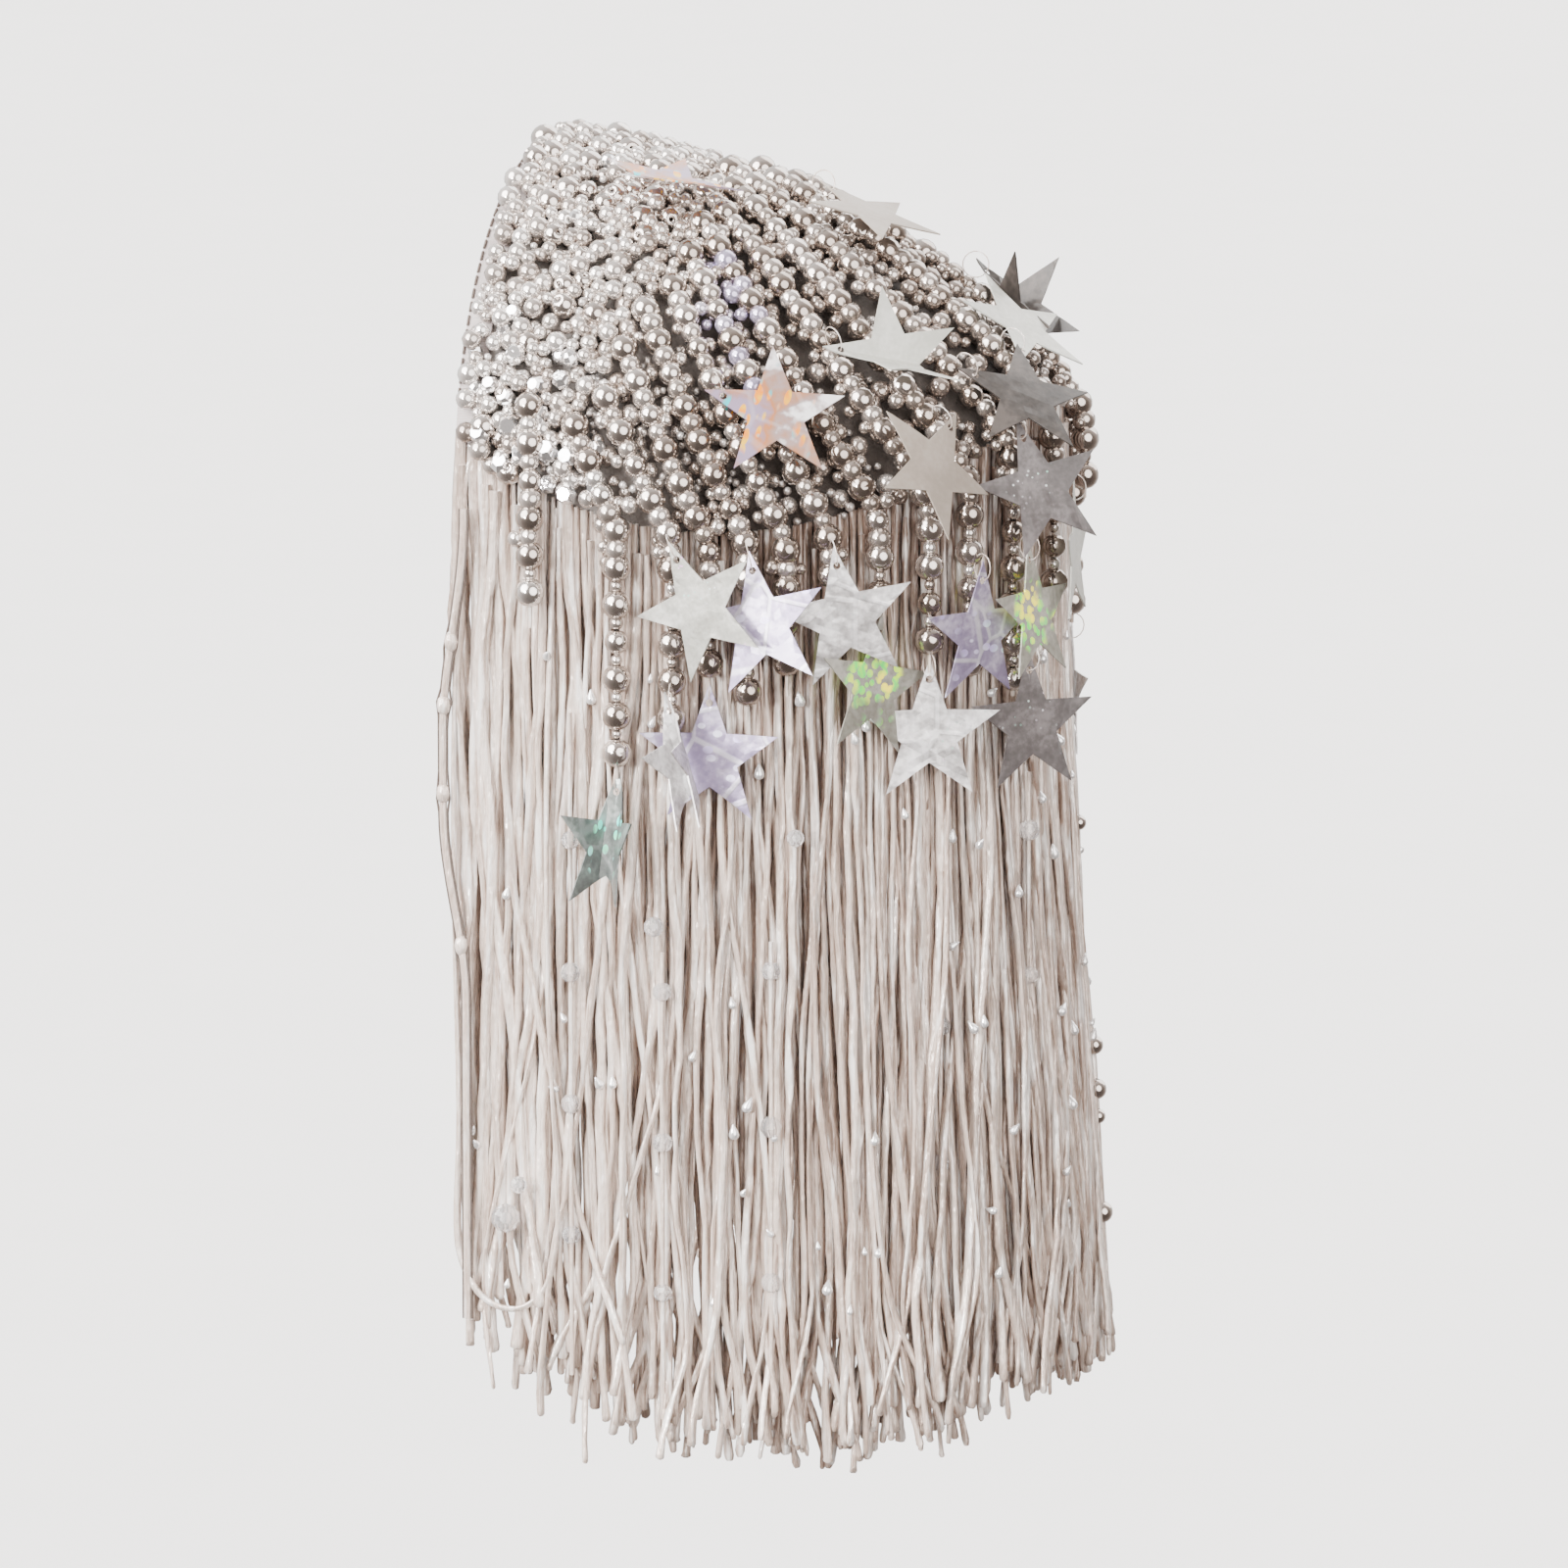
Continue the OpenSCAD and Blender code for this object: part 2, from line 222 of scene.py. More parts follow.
def plan_normal(p):
    x = signed_power((p[0] - OVAL_X) / OVAL_A, OVAL_POWER - 1) / OVAL_A
    y = signed_power(p[1] / OVAL_B, OVAL_POWER - 1) / OVAL_B
    return unit([x, y, 0])


# Lines
def curve(a, b, ta, tb, w):
    """A smooth line from a to b, that sets out along ta and arrives along tb."""
    start = (2 * w**3 - 3 * w**2 + 1) * a + (w**3 - 2 * w**2 + w) * ta
    return start + (3 * w**2 - 2 * w**3) * b + (w**3 - w**2) * tb


def steps_of(line):
    """Lengths between the points of a line."""
    return norm(np.diff(line, axis=0), axis=1)


def along_line(way, d):
    """Points and headings at lengths d along a line."""
    steps = steps_of(way)
    runs = np.concatenate([[0], np.cumsum(steps)])
    i = np.clip(np.searchsorted(runs, d, side="right") - 1, 0, len(steps) - 1)
    u = ((d - runs[i]) / steps[i])[:, None]
    return way[i] * (1 - u) + way[i + 1] * u, unit(way[i + 1] - way[i])


# Share of a strand's way to the rim that lies on the dome, depth below the rim from which it hangs
# straight, and depth from which its beads count as hanging
DRAPED = 0.94
STRAIGHT_BELOW = 6
HANGING_BELOW = 4


def strand_way(row):
    """The line of a strand's thread: over the dome, round the rim and down."""
    x, side, s, turn, drop = row
    end = rim_at(x, side)
    u = DRAPED * np.arange(25) / 24
    over = dome_at(s + (rim_s(x) - s) * u, radians(turn) * (1 - u) + side * rim_turn(x) * u, DRAPE_H)
    foot = end + HANG_OUT * plan_normal(end)
    a, b = over[-1], foot - [0, 0, STRAIGHT_BELOW]
    pull = norm(b - a)
    w = (np.arange(1, 9) / 8)[:, None]
    bend = curve(a, b, pull * unit(a - over[-2]), np.array([0, 0, -pull]), w)
    return np.vstack([over, bend, [foot - [0, 0, drop]]]), foot


def strand_beads(row):
    """Centres, headings and ways off the board of a strand's large beads, and which ones hang."""
    way, foot = strand_way(row)
    count = int(steps_of(way).sum() // BEAD_PITCH) + 1
    p, heading = along_line(way, BEAD_PITCH * np.arange(count))
    hangs = p[:, 2] < rim_z(row[0]) - HANGING_BELOW
    off = np.where(hangs[:, None], plan_normal(foot)[None], dome_normal(p))
    off = unit(off - (off * heading).sum(1, keepdims=True) * heading)
    return p, heading, off, hangs


LINES = [strand_way(row)[0] for row in STRANDS]
BEADS = [strand_beads(row) for row in STRANDS]


# Meshes
def linked(name, data):
    """A new object in the scene."""
    made = bpy.data.objects.new(name, data)
    bpy.context.scene.collection.objects.link(made)
    return made


def mesh_object(name, points, faces=(), edges=(), flat=False):
    """An object from points in metres."""
    mesh = bpy.data.meshes.new(name)
    mesh.from_pydata([tuple(p) for p in points], edges, faces)
    shade = mesh.shade_flat if flat else mesh.shade_smooth
    shade()
    return linked(name, mesh)


def give(made, **layers):
    """Stores values for each point of a mesh, under names that a material or a tree reads."""
    for name, values in layers.items():
        values = np.asarray(values, np.float32)
        kind, key = ("FLOAT_VECTOR", "vector") if values.ndim == 2 else ("FLOAT", "value")
        made.data.attributes.new(name, kind, "POINT").data.foreach_set(key, values.ravel())


def lathe(name, profile, count, ring=False, flat=False):
    """A profile of (radius, height) turned about z: a ring, or a solid with two flat ends."""
    turns = 2 * pi * np.arange(count) / count
    points = [(r * cos(t), r * sin(t), z) for t in turns for r, z in profile]
    n = len(profile)
    faces = []
    for k in range(count):
        here, there = k * n, (k + 1) % count * n
        for i in range(n if ring else n - 1):
            j = (i + 1) % n
            faces.append((here + i, there + i, there + j, here + j))
    if not ring:
        faces.append([k * n for k in reversed(range(count))])
        faces.append([k * n + n - 1 for k in range(count)])
    return mesh_object(name, points, faces, flat=flat)


def ball(first, rows, tall=1.0):
    """Profile of a ball of radius 1, that starts at an angle from its pole."""
    leans = np.linspace(first, pi - first, rows + 1)
    return [(sin(a), -tall * cos(a)) for a in leans]


def facets(girdle, table):
    """Profile of a cut stone: two bands of facets each way from its girdle, and a table."""
    return [(table, -0.92), (0.8, -0.62), (1, -girdle), (1, girdle), (0.8, 0.62), (table, 0.92)]


# Shapes of radius 1 that stand for one bead each. Only the round one has an open hole
HOLE = 0.2
HOLE_WALL = [(0.72 * HOLE, 0.6), (0.72 * HOLE, -0.6)]
FLAT_END = 0.42
DROP_PROFILE = [(0.35, -0.95), (0.85, -0.55), (1, 0), (0.8, 0.6), (0.45, 1.3), (0.12, 2)]
round_bead = lathe("round bead", ball(asin(HOLE), 7) + HOLE_WALL, 12, ring=True)
plain_bead = lathe("plain bead", ball(FLAT_END, 5), 9)
seed_bead = lathe("seed bead", ball(FLAT_END, 3, 0.9), 6)
knot = lathe("knot", ball(FLAT_END, 4, 1.5), 8)
cut_bead = lathe("cut bead", facets(0.1, 0.4), 10, flat=True)
flat_stone = lathe("flat stone", facets(0.22, 0.62), 7, flat=True)
drop_bead = lathe("drop", DROP_PROFILE, 8)
SHAPES = (round_bead, plain_bead, seed_bead, knot, cut_bead, flat_stone, drop_bead)


# Node trees
def operator(operation, swapped=False):
    """An operator that adds a Math node."""

    def result(self, other):
        sides = (other, self) if swapped else (self, other)
        return self.tree.math(operation, *sides)

    return result


class Output:
    """An output of a node: the first, or another by name or number. Sums and products add nodes."""

    def __init__(self, tree, node, key=0):
        self.tree = tree
        self.node = node
        self.socket = tree.socket(node.outputs, key) if node.outputs else None

    def __getitem__(self, key):
        return Output(self.tree, self.node, key)

    __add__ = operator("ADD")
    __radd__ = operator("ADD", True)
    __sub__ = operator("SUBTRACT")
    __rsub__ = operator("SUBTRACT", True)
    __mul__ = operator("MULTIPLY")
    __rmul__ = operator("MULTIPLY", True)


class Tree:
    """A tree of nodes, written as calls."""

    def __init__(self, owner):
        self.owner = owner
        self.nodes = owner.nodes
        self.links = owner.links

    def socket(self, sockets, key):
        if isinstance(key, int):
            return sockets[key]
        by_identifier = [s for s in sockets if s.identifier == key]
        return by_identifier[0] if by_identifier else sockets[key]

    def node(self, kind, inputs=None, **settings):
        """Adds a node: its settings first, then the values or links of its sockets."""
        node = self.nodes.new(kind)
        for key, value in settings.items():
            setattr(node, key, value)
        for key, value in (inputs or {}).items():
            socket = self.socket(node.inputs, key)
            if isinstance(value, Output):
                self.links.new(value.socket, socket)
            elif socket.type == "RGBA":
                socket.default_value = (*value, 1)
            else:
                socket.default_value = value
        return Output(self, node)

    def math(self, operation, *values):
        return self.node("ShaderNodeMath", dict(enumerate(values)), operation=operation)

    def parts(self, vector):
        made = self.node("ShaderNodeSeparateXYZ", {0: vector})
        return [made[k] for k in range(3)]

    def ramp(self, value, stops):
        made = self.node("ShaderNodeValToRGB", {"Fac": value})
        elements = made.node.color_ramp.elements
        while len(elements) < len(stops):
            elements.new(0.5)
        for element, (place, colour) in zip(elements, stops):
            element.position = place
            element.color = (*colour, 1)
        return made


class Finish(Tree):
    """A material, with the nodes that the finishes here share."""

    def __init__(self, name):
        self.material = bpy.data.materials.new(name)
        self.material.use_nodes = True
        super().__init__(self.material.node_tree)
        self.nodes.clear()
        self.place = self.node("ShaderNodeTexCoord")["Object"]

    def read(self, name, output="Fac"):
        return self.node("ShaderNodeAttribute", attribute_name=name)[output]

    def drawn_out(self, place, *shares):
        """Places scaled each way. A share below 1 draws the noise out."""
        return self.node("ShaderNodeVectorMath", {0: place, 1: shares}, operation="MULTIPLY")

    def noise(self, scale, detail=2, rough=0.5, place=None):
        sizes = {"Vector": place or self.place, "Scale": scale, "Detail": detail, "Roughness": rough}
        return self.node("ShaderNodeTexNoise", sizes)

    def cells(self, scale, place, feature="F1"):
        sizes = {"Vector": place, "Scale": scale}
        return self.node("ShaderNodeTexVoronoi", sizes, feature=feature)

    def step(self, value, low, high):
        """0 below low, 1 above high."""
        ends = {"Value": value, "From Min": low, "From Max": high}
        return self.node("ShaderNodeMapRange", ends, interpolation_type="SMOOTHSTEP")

    def mix(self, share, a, b, blend="MIX"):
        ends = {"Factor_Float": share, "A_Color": a, "B_Color": b}
        return self.node("ShaderNodeMix", ends, data_type="RGBA", blend_type=blend)["Result_Color"]

    def stain(self, share, base, colour):
        """Darkens a colour by a share of another."""
        return self.mix(share, base, colour, "MULTIPLY")

    def bump(self, height, distance, strength=1.0):
        sizes = {"Height": height, "Distance": distance, "Strength": strength}
        return self.node("ShaderNodeBump", sizes)

    def close(self, **inputs):
        """Adds the surface itself. An underscore in a socket's name stands for a space."""
        named = {key.replace("_", " "): value for key, value in inputs.items()}
        self.node("ShaderNodeOutputMaterial", {"Surface": self.node("ShaderNodeBsdfPrincipled", named)})
        return self.material


# Finishes
def mirror_finish(name, colours, rough, metal):
    """Silvered beads: bright plating that is duller and browner here and there."""
    f = Finish(name)
    worn = f.step(f.noise(420, 3), 0.55, 0.8)
    return f.close(
        Base_Color=f.stain(worn * 0.4, f.ramp(f.read("tint"), colours), (0.5, 0.44, 0.4)),
        Metallic=metal, Roughness=rough + 0.1 * worn, Normal=f.bump(f.noise(1500), 0.00006, 0.2),
        Coat_Weight=0.25, Coat_Roughness=0.07,
    )


def lined_finish(name, colours, metal):
    """Glass with a silvered hole: a clear coat over a bright, uneven core."""
    f = Finish(name)
    core = f.step(f.noise(900), 0.35, 0.7)
    return f.close(
        Base_Color=f.mix(core * 0.5, f.ramp(f.read("tint"), colours), (0.95, 0.94, 0.93)),
        Metallic=metal, Roughness=0.1 + 0.2 * core, Normal=f.bump(f.noise(1200, 1), 0.00008, 0.3),
        Coat_Weight=1.0, Coat_Roughness=0.03,
    )


def clear_finish(name):
    """Clear cut glass, very slightly grey, with fine streaks in it."""
    f = Finish(name)
    streak = f.noise(500)
    return f.close(
        Base_Color=f.mix(f.step(streak, 0.4, 0.8), (0.96, 0.96, 0.97), (0.75, 0.75, 0.78)),
        Roughness=0.02 + 0.06 * f.step(streak, 0.5, 0.9), IOR=1.54, Transmission_Weight=0.85,
        Normal=f.bump(f.noise(700, 1), 0.00005, 0.2),
    )


CORD_COLOURS = [(0, (0.56, 0.45, 0.385)), (0.35, (0.7, 0.59, 0.515)), (1, (0.88, 0.79, 0.72))]


def cord_finish(name):
    """Satin cord: fine filaments, painted highlights in streaks along it, dents, uneven tone and painted
    shade.
    """
    f = Finish(name)
    filament = f.noise(1100, 3, 0.6, f.drawn_out(f.place, 1, 1, 0.09))
    painted_highlight = f.step(f.noise(520, 2, 0.5, f.drawn_out(f.place, 1, 1, 0.12)), 0.53, 0.64)
    dents = f.noise(280, 3, 0.6, f.drawn_out(f.place, 1, 1, 0.3))
    base = f.ramp(f.read("tint"), CORD_COLOURS)
    base = f.stain(0.4 * f.step(f.noise(60, 3), 0.35, 0.7), base, (0.78, 0.71, 0.67))
    # Painted shade: the curtain's inner layers, and the tops of the cords under the beads, are darkened
    base = f.stain(f.read("deep"), base, (0.46, 0.385, 0.345))
    base = f.mix(f.step(filament, 0.42, 0.6), f.stain(0.45, base, (0.6, 0.5, 0.45)), base)
    # Painted highlight: near-white streaks along the cords
    base = f.mix(painted_highlight * 0.85, base, (0.99, 0.955, 0.92))
    return f.close(
        # Painted shade along each cord's edges
        Base_Color=f.stain(0.6 * f.step(f.read("edge"), 0.5, 1), base, (0.62, 0.52, 0.47)),
        Metallic=0.2, Roughness=0.2 + 0.16 * filament - painted_highlight * 0.08,
        Normal=f.bump(filament * 0.35 + dents, 0.0016, 0.7), Sheen_Weight=0.15, Sheen_Roughness=0.5,
        Specular_IOR_Level=0.9, Coat_Weight=0.6, Coat_Roughness=0.1,
    )


def thread_finish(name, dark, light):
    """Twisted sewing thread."""
    f = Finish(name)
    strand = f.noise(1500)
    return f.close(
        Base_Color=f.mix(strand, dark, light), Roughness=0.5 + 0.2 * strand,
        Normal=f.bump(strand, 0.0002),
    )


def satin_finish(name):
    """Pale satin strip: fine crosswise threads, and soft puckers with painted shade in their hollows."""
    f = Finish(name)
    _, y, z = f.parts(f.place)
    threads = f.math("SINE", (y + z) * 9000)
    puckers = f.noise(160, 3)
    # Painted shade: the satin is darker where the puckers lie low
    return f.close(
        Base_Color=f.mix(f.step(puckers, 0.3, 0.75), (0.4, 0.345, 0.335), (0.58, 0.515, 0.5)),
        Roughness=0.36 + 0.15 * puckers, Normal=f.bump(threads * 0.12 + puckers, 0.0004, 0.5),
        Sheen_Weight=0.3, Sheen_Roughness=0.4, Anisotropic=0.4,
    )


def weave_finish(name, dark, light, pitch):
    """Plain woven cloth: two sets of threads that pass over and under, with slubs, and painted shade where
    the threads lie low.
    """
    f = Finish(name)
    warp, weft = (f.math("SINE", way * (6.2832 / pitch)) for way in f.parts(f.place)[:2])
    height = warp * weft * 0.5 + 0.5
    slub = f.noise(240, 3)
    # Colour follows the weave's height: painted shade where threads pass under, and the slubs' own tone
    return f.close(
        Base_Color=f.mix(height * 0.6 + slub * 0.4, dark, light), Roughness=0.78 + 0.15 * slub,
        Normal=f.bump(height + slub * 0.5, 0.00025, 0.7), Sheen_Weight=0.15,
    )


# Places out from the seat, in metres, where the cloth under the beads starts to be dark and is dark
DARK_FROM = -0.002
DARK_ALL = 0.022


def ground_finish(name):
    """Cloth under the beads, with a nap: pale by the inner edge, dark brown towards the arm; both partly its
    own colour and partly painted shade between the beads.
    """
    f = Finish(name)
    nap = f.noise(900, 4, 0.7)
    # Painted shade: darker towards the arm, where the strands shade the cloth, and dim in the pits between
    # beads
    dark = f.step(f.parts(f.place)[0] + (f.noise(55, 3) - 0.5) * 0.03, DARK_FROM, DARK_ALL)
    pale = f.mix(nap, (0.13, 0.11, 0.1), (0.36, 0.325, 0.3))
    brown = f.mix(nap, (0.034, 0.026, 0.021), (0.125, 0.102, 0.088))
    return f.close(
        Base_Color=f.mix(dark, pale, brown), Roughness=0.7 + 0.2 * nap,
        Normal=f.bump(nap, 0.0004, 0.8), Sheen_Weight=0.2,
    )


# Colours of each foil's clouds, clouds to a star's radius, roughness, metal, creases and flecks
FOILS = {
    "silver": ([(0.32, 0.3, 0.295), (0.48, 0.455, 0.45), (0.78, 0.76, 0.75)], 2.1, 0.36, 0.45, 0.1, "dust"),
    "bright": ([(0.34, 0.325, 0.32), (0.6, 0.58, 0.58), (0.95, 0.94, 0.94)], 1.8, 0.3, 0.5, 0.35, "dust"),
    "sage": ([(0.32, 0.315, 0.28), (0.41, 0.405, 0.365), (0.56, 0.55, 0.51)], 2.4, 0.42, 0.25, 0.05, "dust"),
    "white": ([(0.43, 0.43, 0.385), (0.5, 0.5, 0.455), (0.58, 0.58, 0.54)], 2, 0.42, 0.15, 0, None),
    "grey": ([(0.07, 0.061, 0.06), (0.098, 0.085, 0.084), (0.17, 0.15, 0.15)], 2, 0.42, 0.3, 0, "dust"),
    "taupe": ([(0.28, 0.235, 0.195), (0.32, 0.27, 0.225), (0.36, 0.31, 0.265)], 1.6, 0.55, 0.1, 0, None),
    # Dark film that is painted shade, for two stars that hang in shade
    "bronze": ([(0.03, 0.025, 0.022), (0.048, 0.04, 0.035), (0.085, 0.07, 0.062)], 1.6, 0.42, 0.3, 0, None),
    "lilac": ([(0.26, 0.21, 0.34), (0.36, 0.3, 0.45), (0.6, 0.54, 0.68)], 1.8, 0.3, 0.35, 0.4, "pearl"),
    "peach": (
        [(0.9, 0.88, 0.89), (0.34, 0.25, 0.24), (0.36, 0.2, 0.14), (0.46, 0.17, 0.06), (0.34, 0.2, 0.2),
         (0.3, 0.23, 0.33)],
        1.0, 0.28, 0.2, 0.1, "rainbow",
    ),
    "lime": ([(0.27, 0.26, 0.22), (0.38, 0.37, 0.32), (0.55, 0.54, 0.48)], 1.8, 0.34, 0.3, 0.1, "lime"),
    "teal": ([(0.09, 0.1, 0.095), (0.15, 0.17, 0.16), (0.32, 0.35, 0.335)], 1.8, 0.34, 0.35, 0.12, "teal"),
}
# Share of fine clouds, change of colour from lower left to upper right, and spread of the colours
PLAIN_CLOUDS = (0.3, 0.045, 0.12)
BOLD_CLOUDS = {"peach": (0.1, 0.1, 0.13)}
# Flecks of a foil: cells to a star's radius each way, size, reach on the star, noise from which
# they show, glow painted in as their glint, and hues
FLECKS = {
    "dust": ((10, 11), 0.2, 2.0, 0.49, 0.04, [(0.3, 0.6, 0.48), (0.6, 0.6, 0.62), (0.7, 0.42, 0.64)]),
    "pearl": ((3.6, 5), 0.3, 2.0, 0.4, 0.08, [(0.8, 0.78, 0.92), (0.55, 0.45, 0.8), (0.75, 0.9, 0.95)]),
    "rainbow": ((2.6, 7), 0.42, 0.8, 0.4, 0.7, [(0.0, 0.45, 0.5), (0.75, 0.2, 0.0), (0.7, 0.4, 0.02)]),
    "lime": ((8, 8), 0.56, 0.6, 0.4, 1.3, [(0.7, 0.85, 0.0), (0.05, 0.7, 0.1), (0.95, 0.8, 0.05)]),
    "teal": ((7, 4.5), 0.36, 0.5, 0.4, 0.8, [(0.05, 0.7, 0.6), (0.2, 0.85, 0.5), (0.4, 0.9, 0.9)]),
}
# Where the hues of some flecks stand in their noise, and where those of the rest do
HUE_PLACES = {"rainbow": (0.46, 0.52, 0.6), "lime": (0.35, 0.5, 0.65)}
EVEN_PLACES = (0.3, 0.5, 0.7)


def foil_finish(kind):
    """Thin metallised film: cloudy, finely crinkled and creased, and with coloured flecks on some, whose glow
    is a painted glint.
    """
    colours, scale, rough, metal, creased, flecks = FOILS[kind]
    fine, slant, spread = BOLD_CLOUDS.get(kind, PLAIN_CLOUDS)
    f = Finish("foil_" + kind)
    film = f.read("film", "Vector")
    x, y, _ = f.parts(film)
    clouds = f.noise(scale, 4, 0.6, film) * (1 - fine) + f.noise(scale * 7, 2, 0.5, film) * fine
    clouds = clouds + (x - y) * slant
    places = np.linspace(0.5 - spread, 0.5 + spread, len(colours))
    base = f.ramp(clouds, list(zip(places, colours)))
    crease = 1 - f.step(f.cells(1.3, film, "DISTANCE_TO_EDGE"), 0.015, 0.05)
    base = f.mix(crease * creased, base, (0.93, 0.92, 0.94))
    crinkle = f.noise(5, 3, 0.5, film) + f.cells(1.8, film) * 0.4 + crease * creased
    lit = {}
    if flecks:
        cells, size, reach, above, glow, hues = FLECKS[flecks]
        near = 1 - f.step(f.read("reach"), reach * 0.8, reach)
        patch = f.step(f.noise(1.6, 2, 0.5, film), above, above + 0.15) * near
        dot = (1 - f.step(f.cells(1, f.drawn_out(film, *cells, 1)), size * 0.8, size)) * patch
        hue_stops = list(zip(HUE_PLACES.get(flecks, EVEN_PLACES), hues))
        colour = f.ramp(f.noise(2.2, 2, 0.5, film), hue_stops)
        base = f.mix(dot, base, colour)
        # Painted light: the flecks glow, standing in for their glints
        lit = {"Emission_Color": f.mix(dot, (0, 0, 0), colour), "Emission_Strength": glow}
    return f.close(
        Base_Color=base, Metallic=metal, Roughness=rough + 0.14 * clouds,
        Normal=f.bump(crinkle, 0.0003, 0.35), Coat_Weight=0.3, Coat_Roughness=0.12, **lit,
    )


WARM_SILVER = [
    (0, (0.4, 0.34, 0.3)), (0.3, (0.55, 0.49, 0.45)), (0.8, (0.72, 0.66, 0.62)), (1, (0.86, 0.83, 0.8)),
]
SOFT_SILVER = [(0, (0.36, 0.3, 0.265)), (0.4, (0.56, 0.5, 0.46)), (1, (0.84, 0.8, 0.77))]
LILAC_SILVER = [(0, (0.44, 0.39, 0.55)), (0.5, (0.58, 0.53, 0.68)), (1, (0.84, 0.8, 0.88))]
SEED_COLOURS = [(0, (0.32, 0.27, 0.24)), (0.5, (0.55, 0.49, 0.455)), (1, (0.86, 0.83, 0.81))]
STONE_COLOURS = [(0, (0.93, 0.92, 0.92)), (1, (0.97, 0.97, 0.98))]

large_silver = mirror_finish("large_silver_bead", WARM_SILVER, 0.13, 0.95)
small_silver = mirror_finish("small_silver_bead", WARM_SILVER, 0.17, 0.85)
soft_silver = mirror_finish("soft_silver_bead", SOFT_SILVER, 0.15, 0.78)
lilac_silver = mirror_finish("lilac_bead", LILAC_SILVER, 0.12, 0.7)
lined_seed = lined_finish("silver_lined_seed", SEED_COLOURS, 0.5)
rhinestone = mirror_finish("rhinestone", STONE_COLOURS, 0.03, 0.9)
bright_stone = lined_finish("bright_stone", STONE_COLOURS, 0.6)
cut_glass = clear_finish("cut_glass")
fringe_cord = cord_finish("fringe_cord_satin")
dark_thread = thread_finish("dark_thread", (0.05, 0.035, 0.03), (0.16, 0.12, 0.1))
binding_satin = satin_finish("binding_satin")
lining_cloth = weave_finish("lining_weave", (0.38, 0.3, 0.22), (0.6, 0.51, 0.4), 0.0007)
board_cloth = ground_finish("board_cloth")
foils = {kind: foil_finish(kind) for kind in FOILS}


# Geometry trees
def new_tree(name, *numbers):
    """An empty geometry tree with inputs for geometry, a shape, a finish and named numbers."""
    tree = Tree(bpy.data.node_groups.new(name, "GeometryNodeTree"))
    sockets = [("Geometry", "Geometry"), ("Shape", "Object"), ("Finish", "Material")]
    for label, kind in sockets + [(label, "Float") for label in numbers]:
        tree.owner.interface.new_socket(label, in_out="INPUT", socket_type="NodeSocket" + kind)
    tree.owner.interface.new_socket("Geometry", in_out="OUTPUT", socket_type="NodeSocketGeometry")
    return tree, tree.node("NodeGroupInput")


def stored(tree, name, kind="FLOAT"):
    return tree.node("GeometryNodeInputNamedAttribute", {"Name": name}, data_type=kind)


def finish_tree(tree, start, geometry):
    real = tree.node("GeometryNodeRealizeInstances", {"Geometry": geometry})
    done = tree.node("GeometryNodeSetMaterial", {"Geometry": real, "Material": start["Finish"]})
    tree.node("NodeGroupOutput", {"Geometry": done})
    return tree.owner


def beads_tree():
    """A shape at each point, turned so that its hole follows the point's thread."""
    tree, start = new_tree("beads")
    heading = {"Vector": stored(tree, "heading", "FLOAT_VECTOR")}
    shape = tree.node("GeometryNodeObjectInfo", {"Object": start["Shape"]}, transform_space="ORIGINAL")
    placed = tree.node("GeometryNodeInstanceOnPoints", {
        "Points": start["Geometry"],
        "Instance": shape["Geometry"],
        "Rotation": tree.node("FunctionNodeAlignRotationToVector", heading, axis="Z"),
        "Scale": stored(tree, "size"),
    })
    return finish_tree(tree, start, placed)


def cords_tree():
    """A flat cord along each line, as thick and as twisted as its points say."""
    tree, start = new_tree("cords", "Sides", "Flatness")
    line = tree.node("GeometryNodeMeshToCurve", {"Mesh": start["Geometry"]})
    line = tree.node("GeometryNodeSetCurveRadius", {"Curve": line, "Radius": stored(tree, "thick")})
    line = tree.node("GeometryNodeSetCurveTilt", {"Curve": line, "Tilt": stored(tree, "twist")})
    ring = tree.node("GeometryNodeCurvePrimitiveCircle", {"Resolution": start["Sides"], "Radius": 1.0})
    # How far each ring point lies to the side; the cords' material paints shade along their edges from it
    wide = tree.math("ABSOLUTE", tree.parts(tree.node("GeometryNodeInputPosition"))[0])
    edge = {"Geometry": ring, "Name": "edge", "Value": wide}
    ring = tree.node("GeometryNodeStoreNamedAttribute", edge, domain="POINT")
    squash = tree.node("ShaderNodeCombineXYZ", {"X": 1.0, "Y": start["Flatness"], "Z": 1.0})
    made = tree.node("GeometryNodeCurveToMesh", {
        "Curve": line,
        "Profile Curve": tree.node("GeometryNodeTransform", {"Geometry": ring, "Scale": squash}),
        "Scale": tree.node("GeometryNodeInputRadius"),
        "Fill Caps": True,
    })
    return finish_tree(tree, start, tree.node("GeometryNodeSetShadeSmooth", {"Geometry": made}))


BEADS_TREE = beads_tree()
CORDS_TREE = cords_tree()


# Pieces
def ride(made, slot, *nodes):
    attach(made, "root")
    if nodes:
        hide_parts(*nodes)


def grown(made, tree, **values):
    """Runs a geometry tree on an object and keeps the result as its plain mesh."""
    modifier = made.modifiers.new("grow", "NODES")
    modifier.node_group = tree
    for item in tree.interface.items_tree:
        if item.name in values:
            modifier[item.identifier] = values[item.name]
    depsgraph = bpy.context.evaluated_depsgraph_get()
    mesh = bpy.data.meshes.new_from_object(made.evaluated_get(depsgraph))
    made.modifiers.remove(modifier)
    made.data = mesh
    return made


def beads_piece(name, beads, shape, finish, slot, *nodes):
    """Beads of one shape and finish, as one piece. Each is its centre, radius, heading and tint."""
    centres, radii, headings, tints = zip(*beads)
    made = mesh_object(name, seated(centres))
    give(made, size=np.asarray(radii, float) / 1000, heading=headings, tint=tints)
    ride(grown(made, BEADS_TREE, Shape=shape, Finish=finish), slot, *nodes)


def for_points(values, lines):
    """Values for all points of the lines, from one for all, or from one or more for each line."""
    each = [values] * len(lines) if np.isscalar(values) else values
    return np.concatenate([np.broadcast_to(value, len(line)) for value, line in zip(each, lines)])


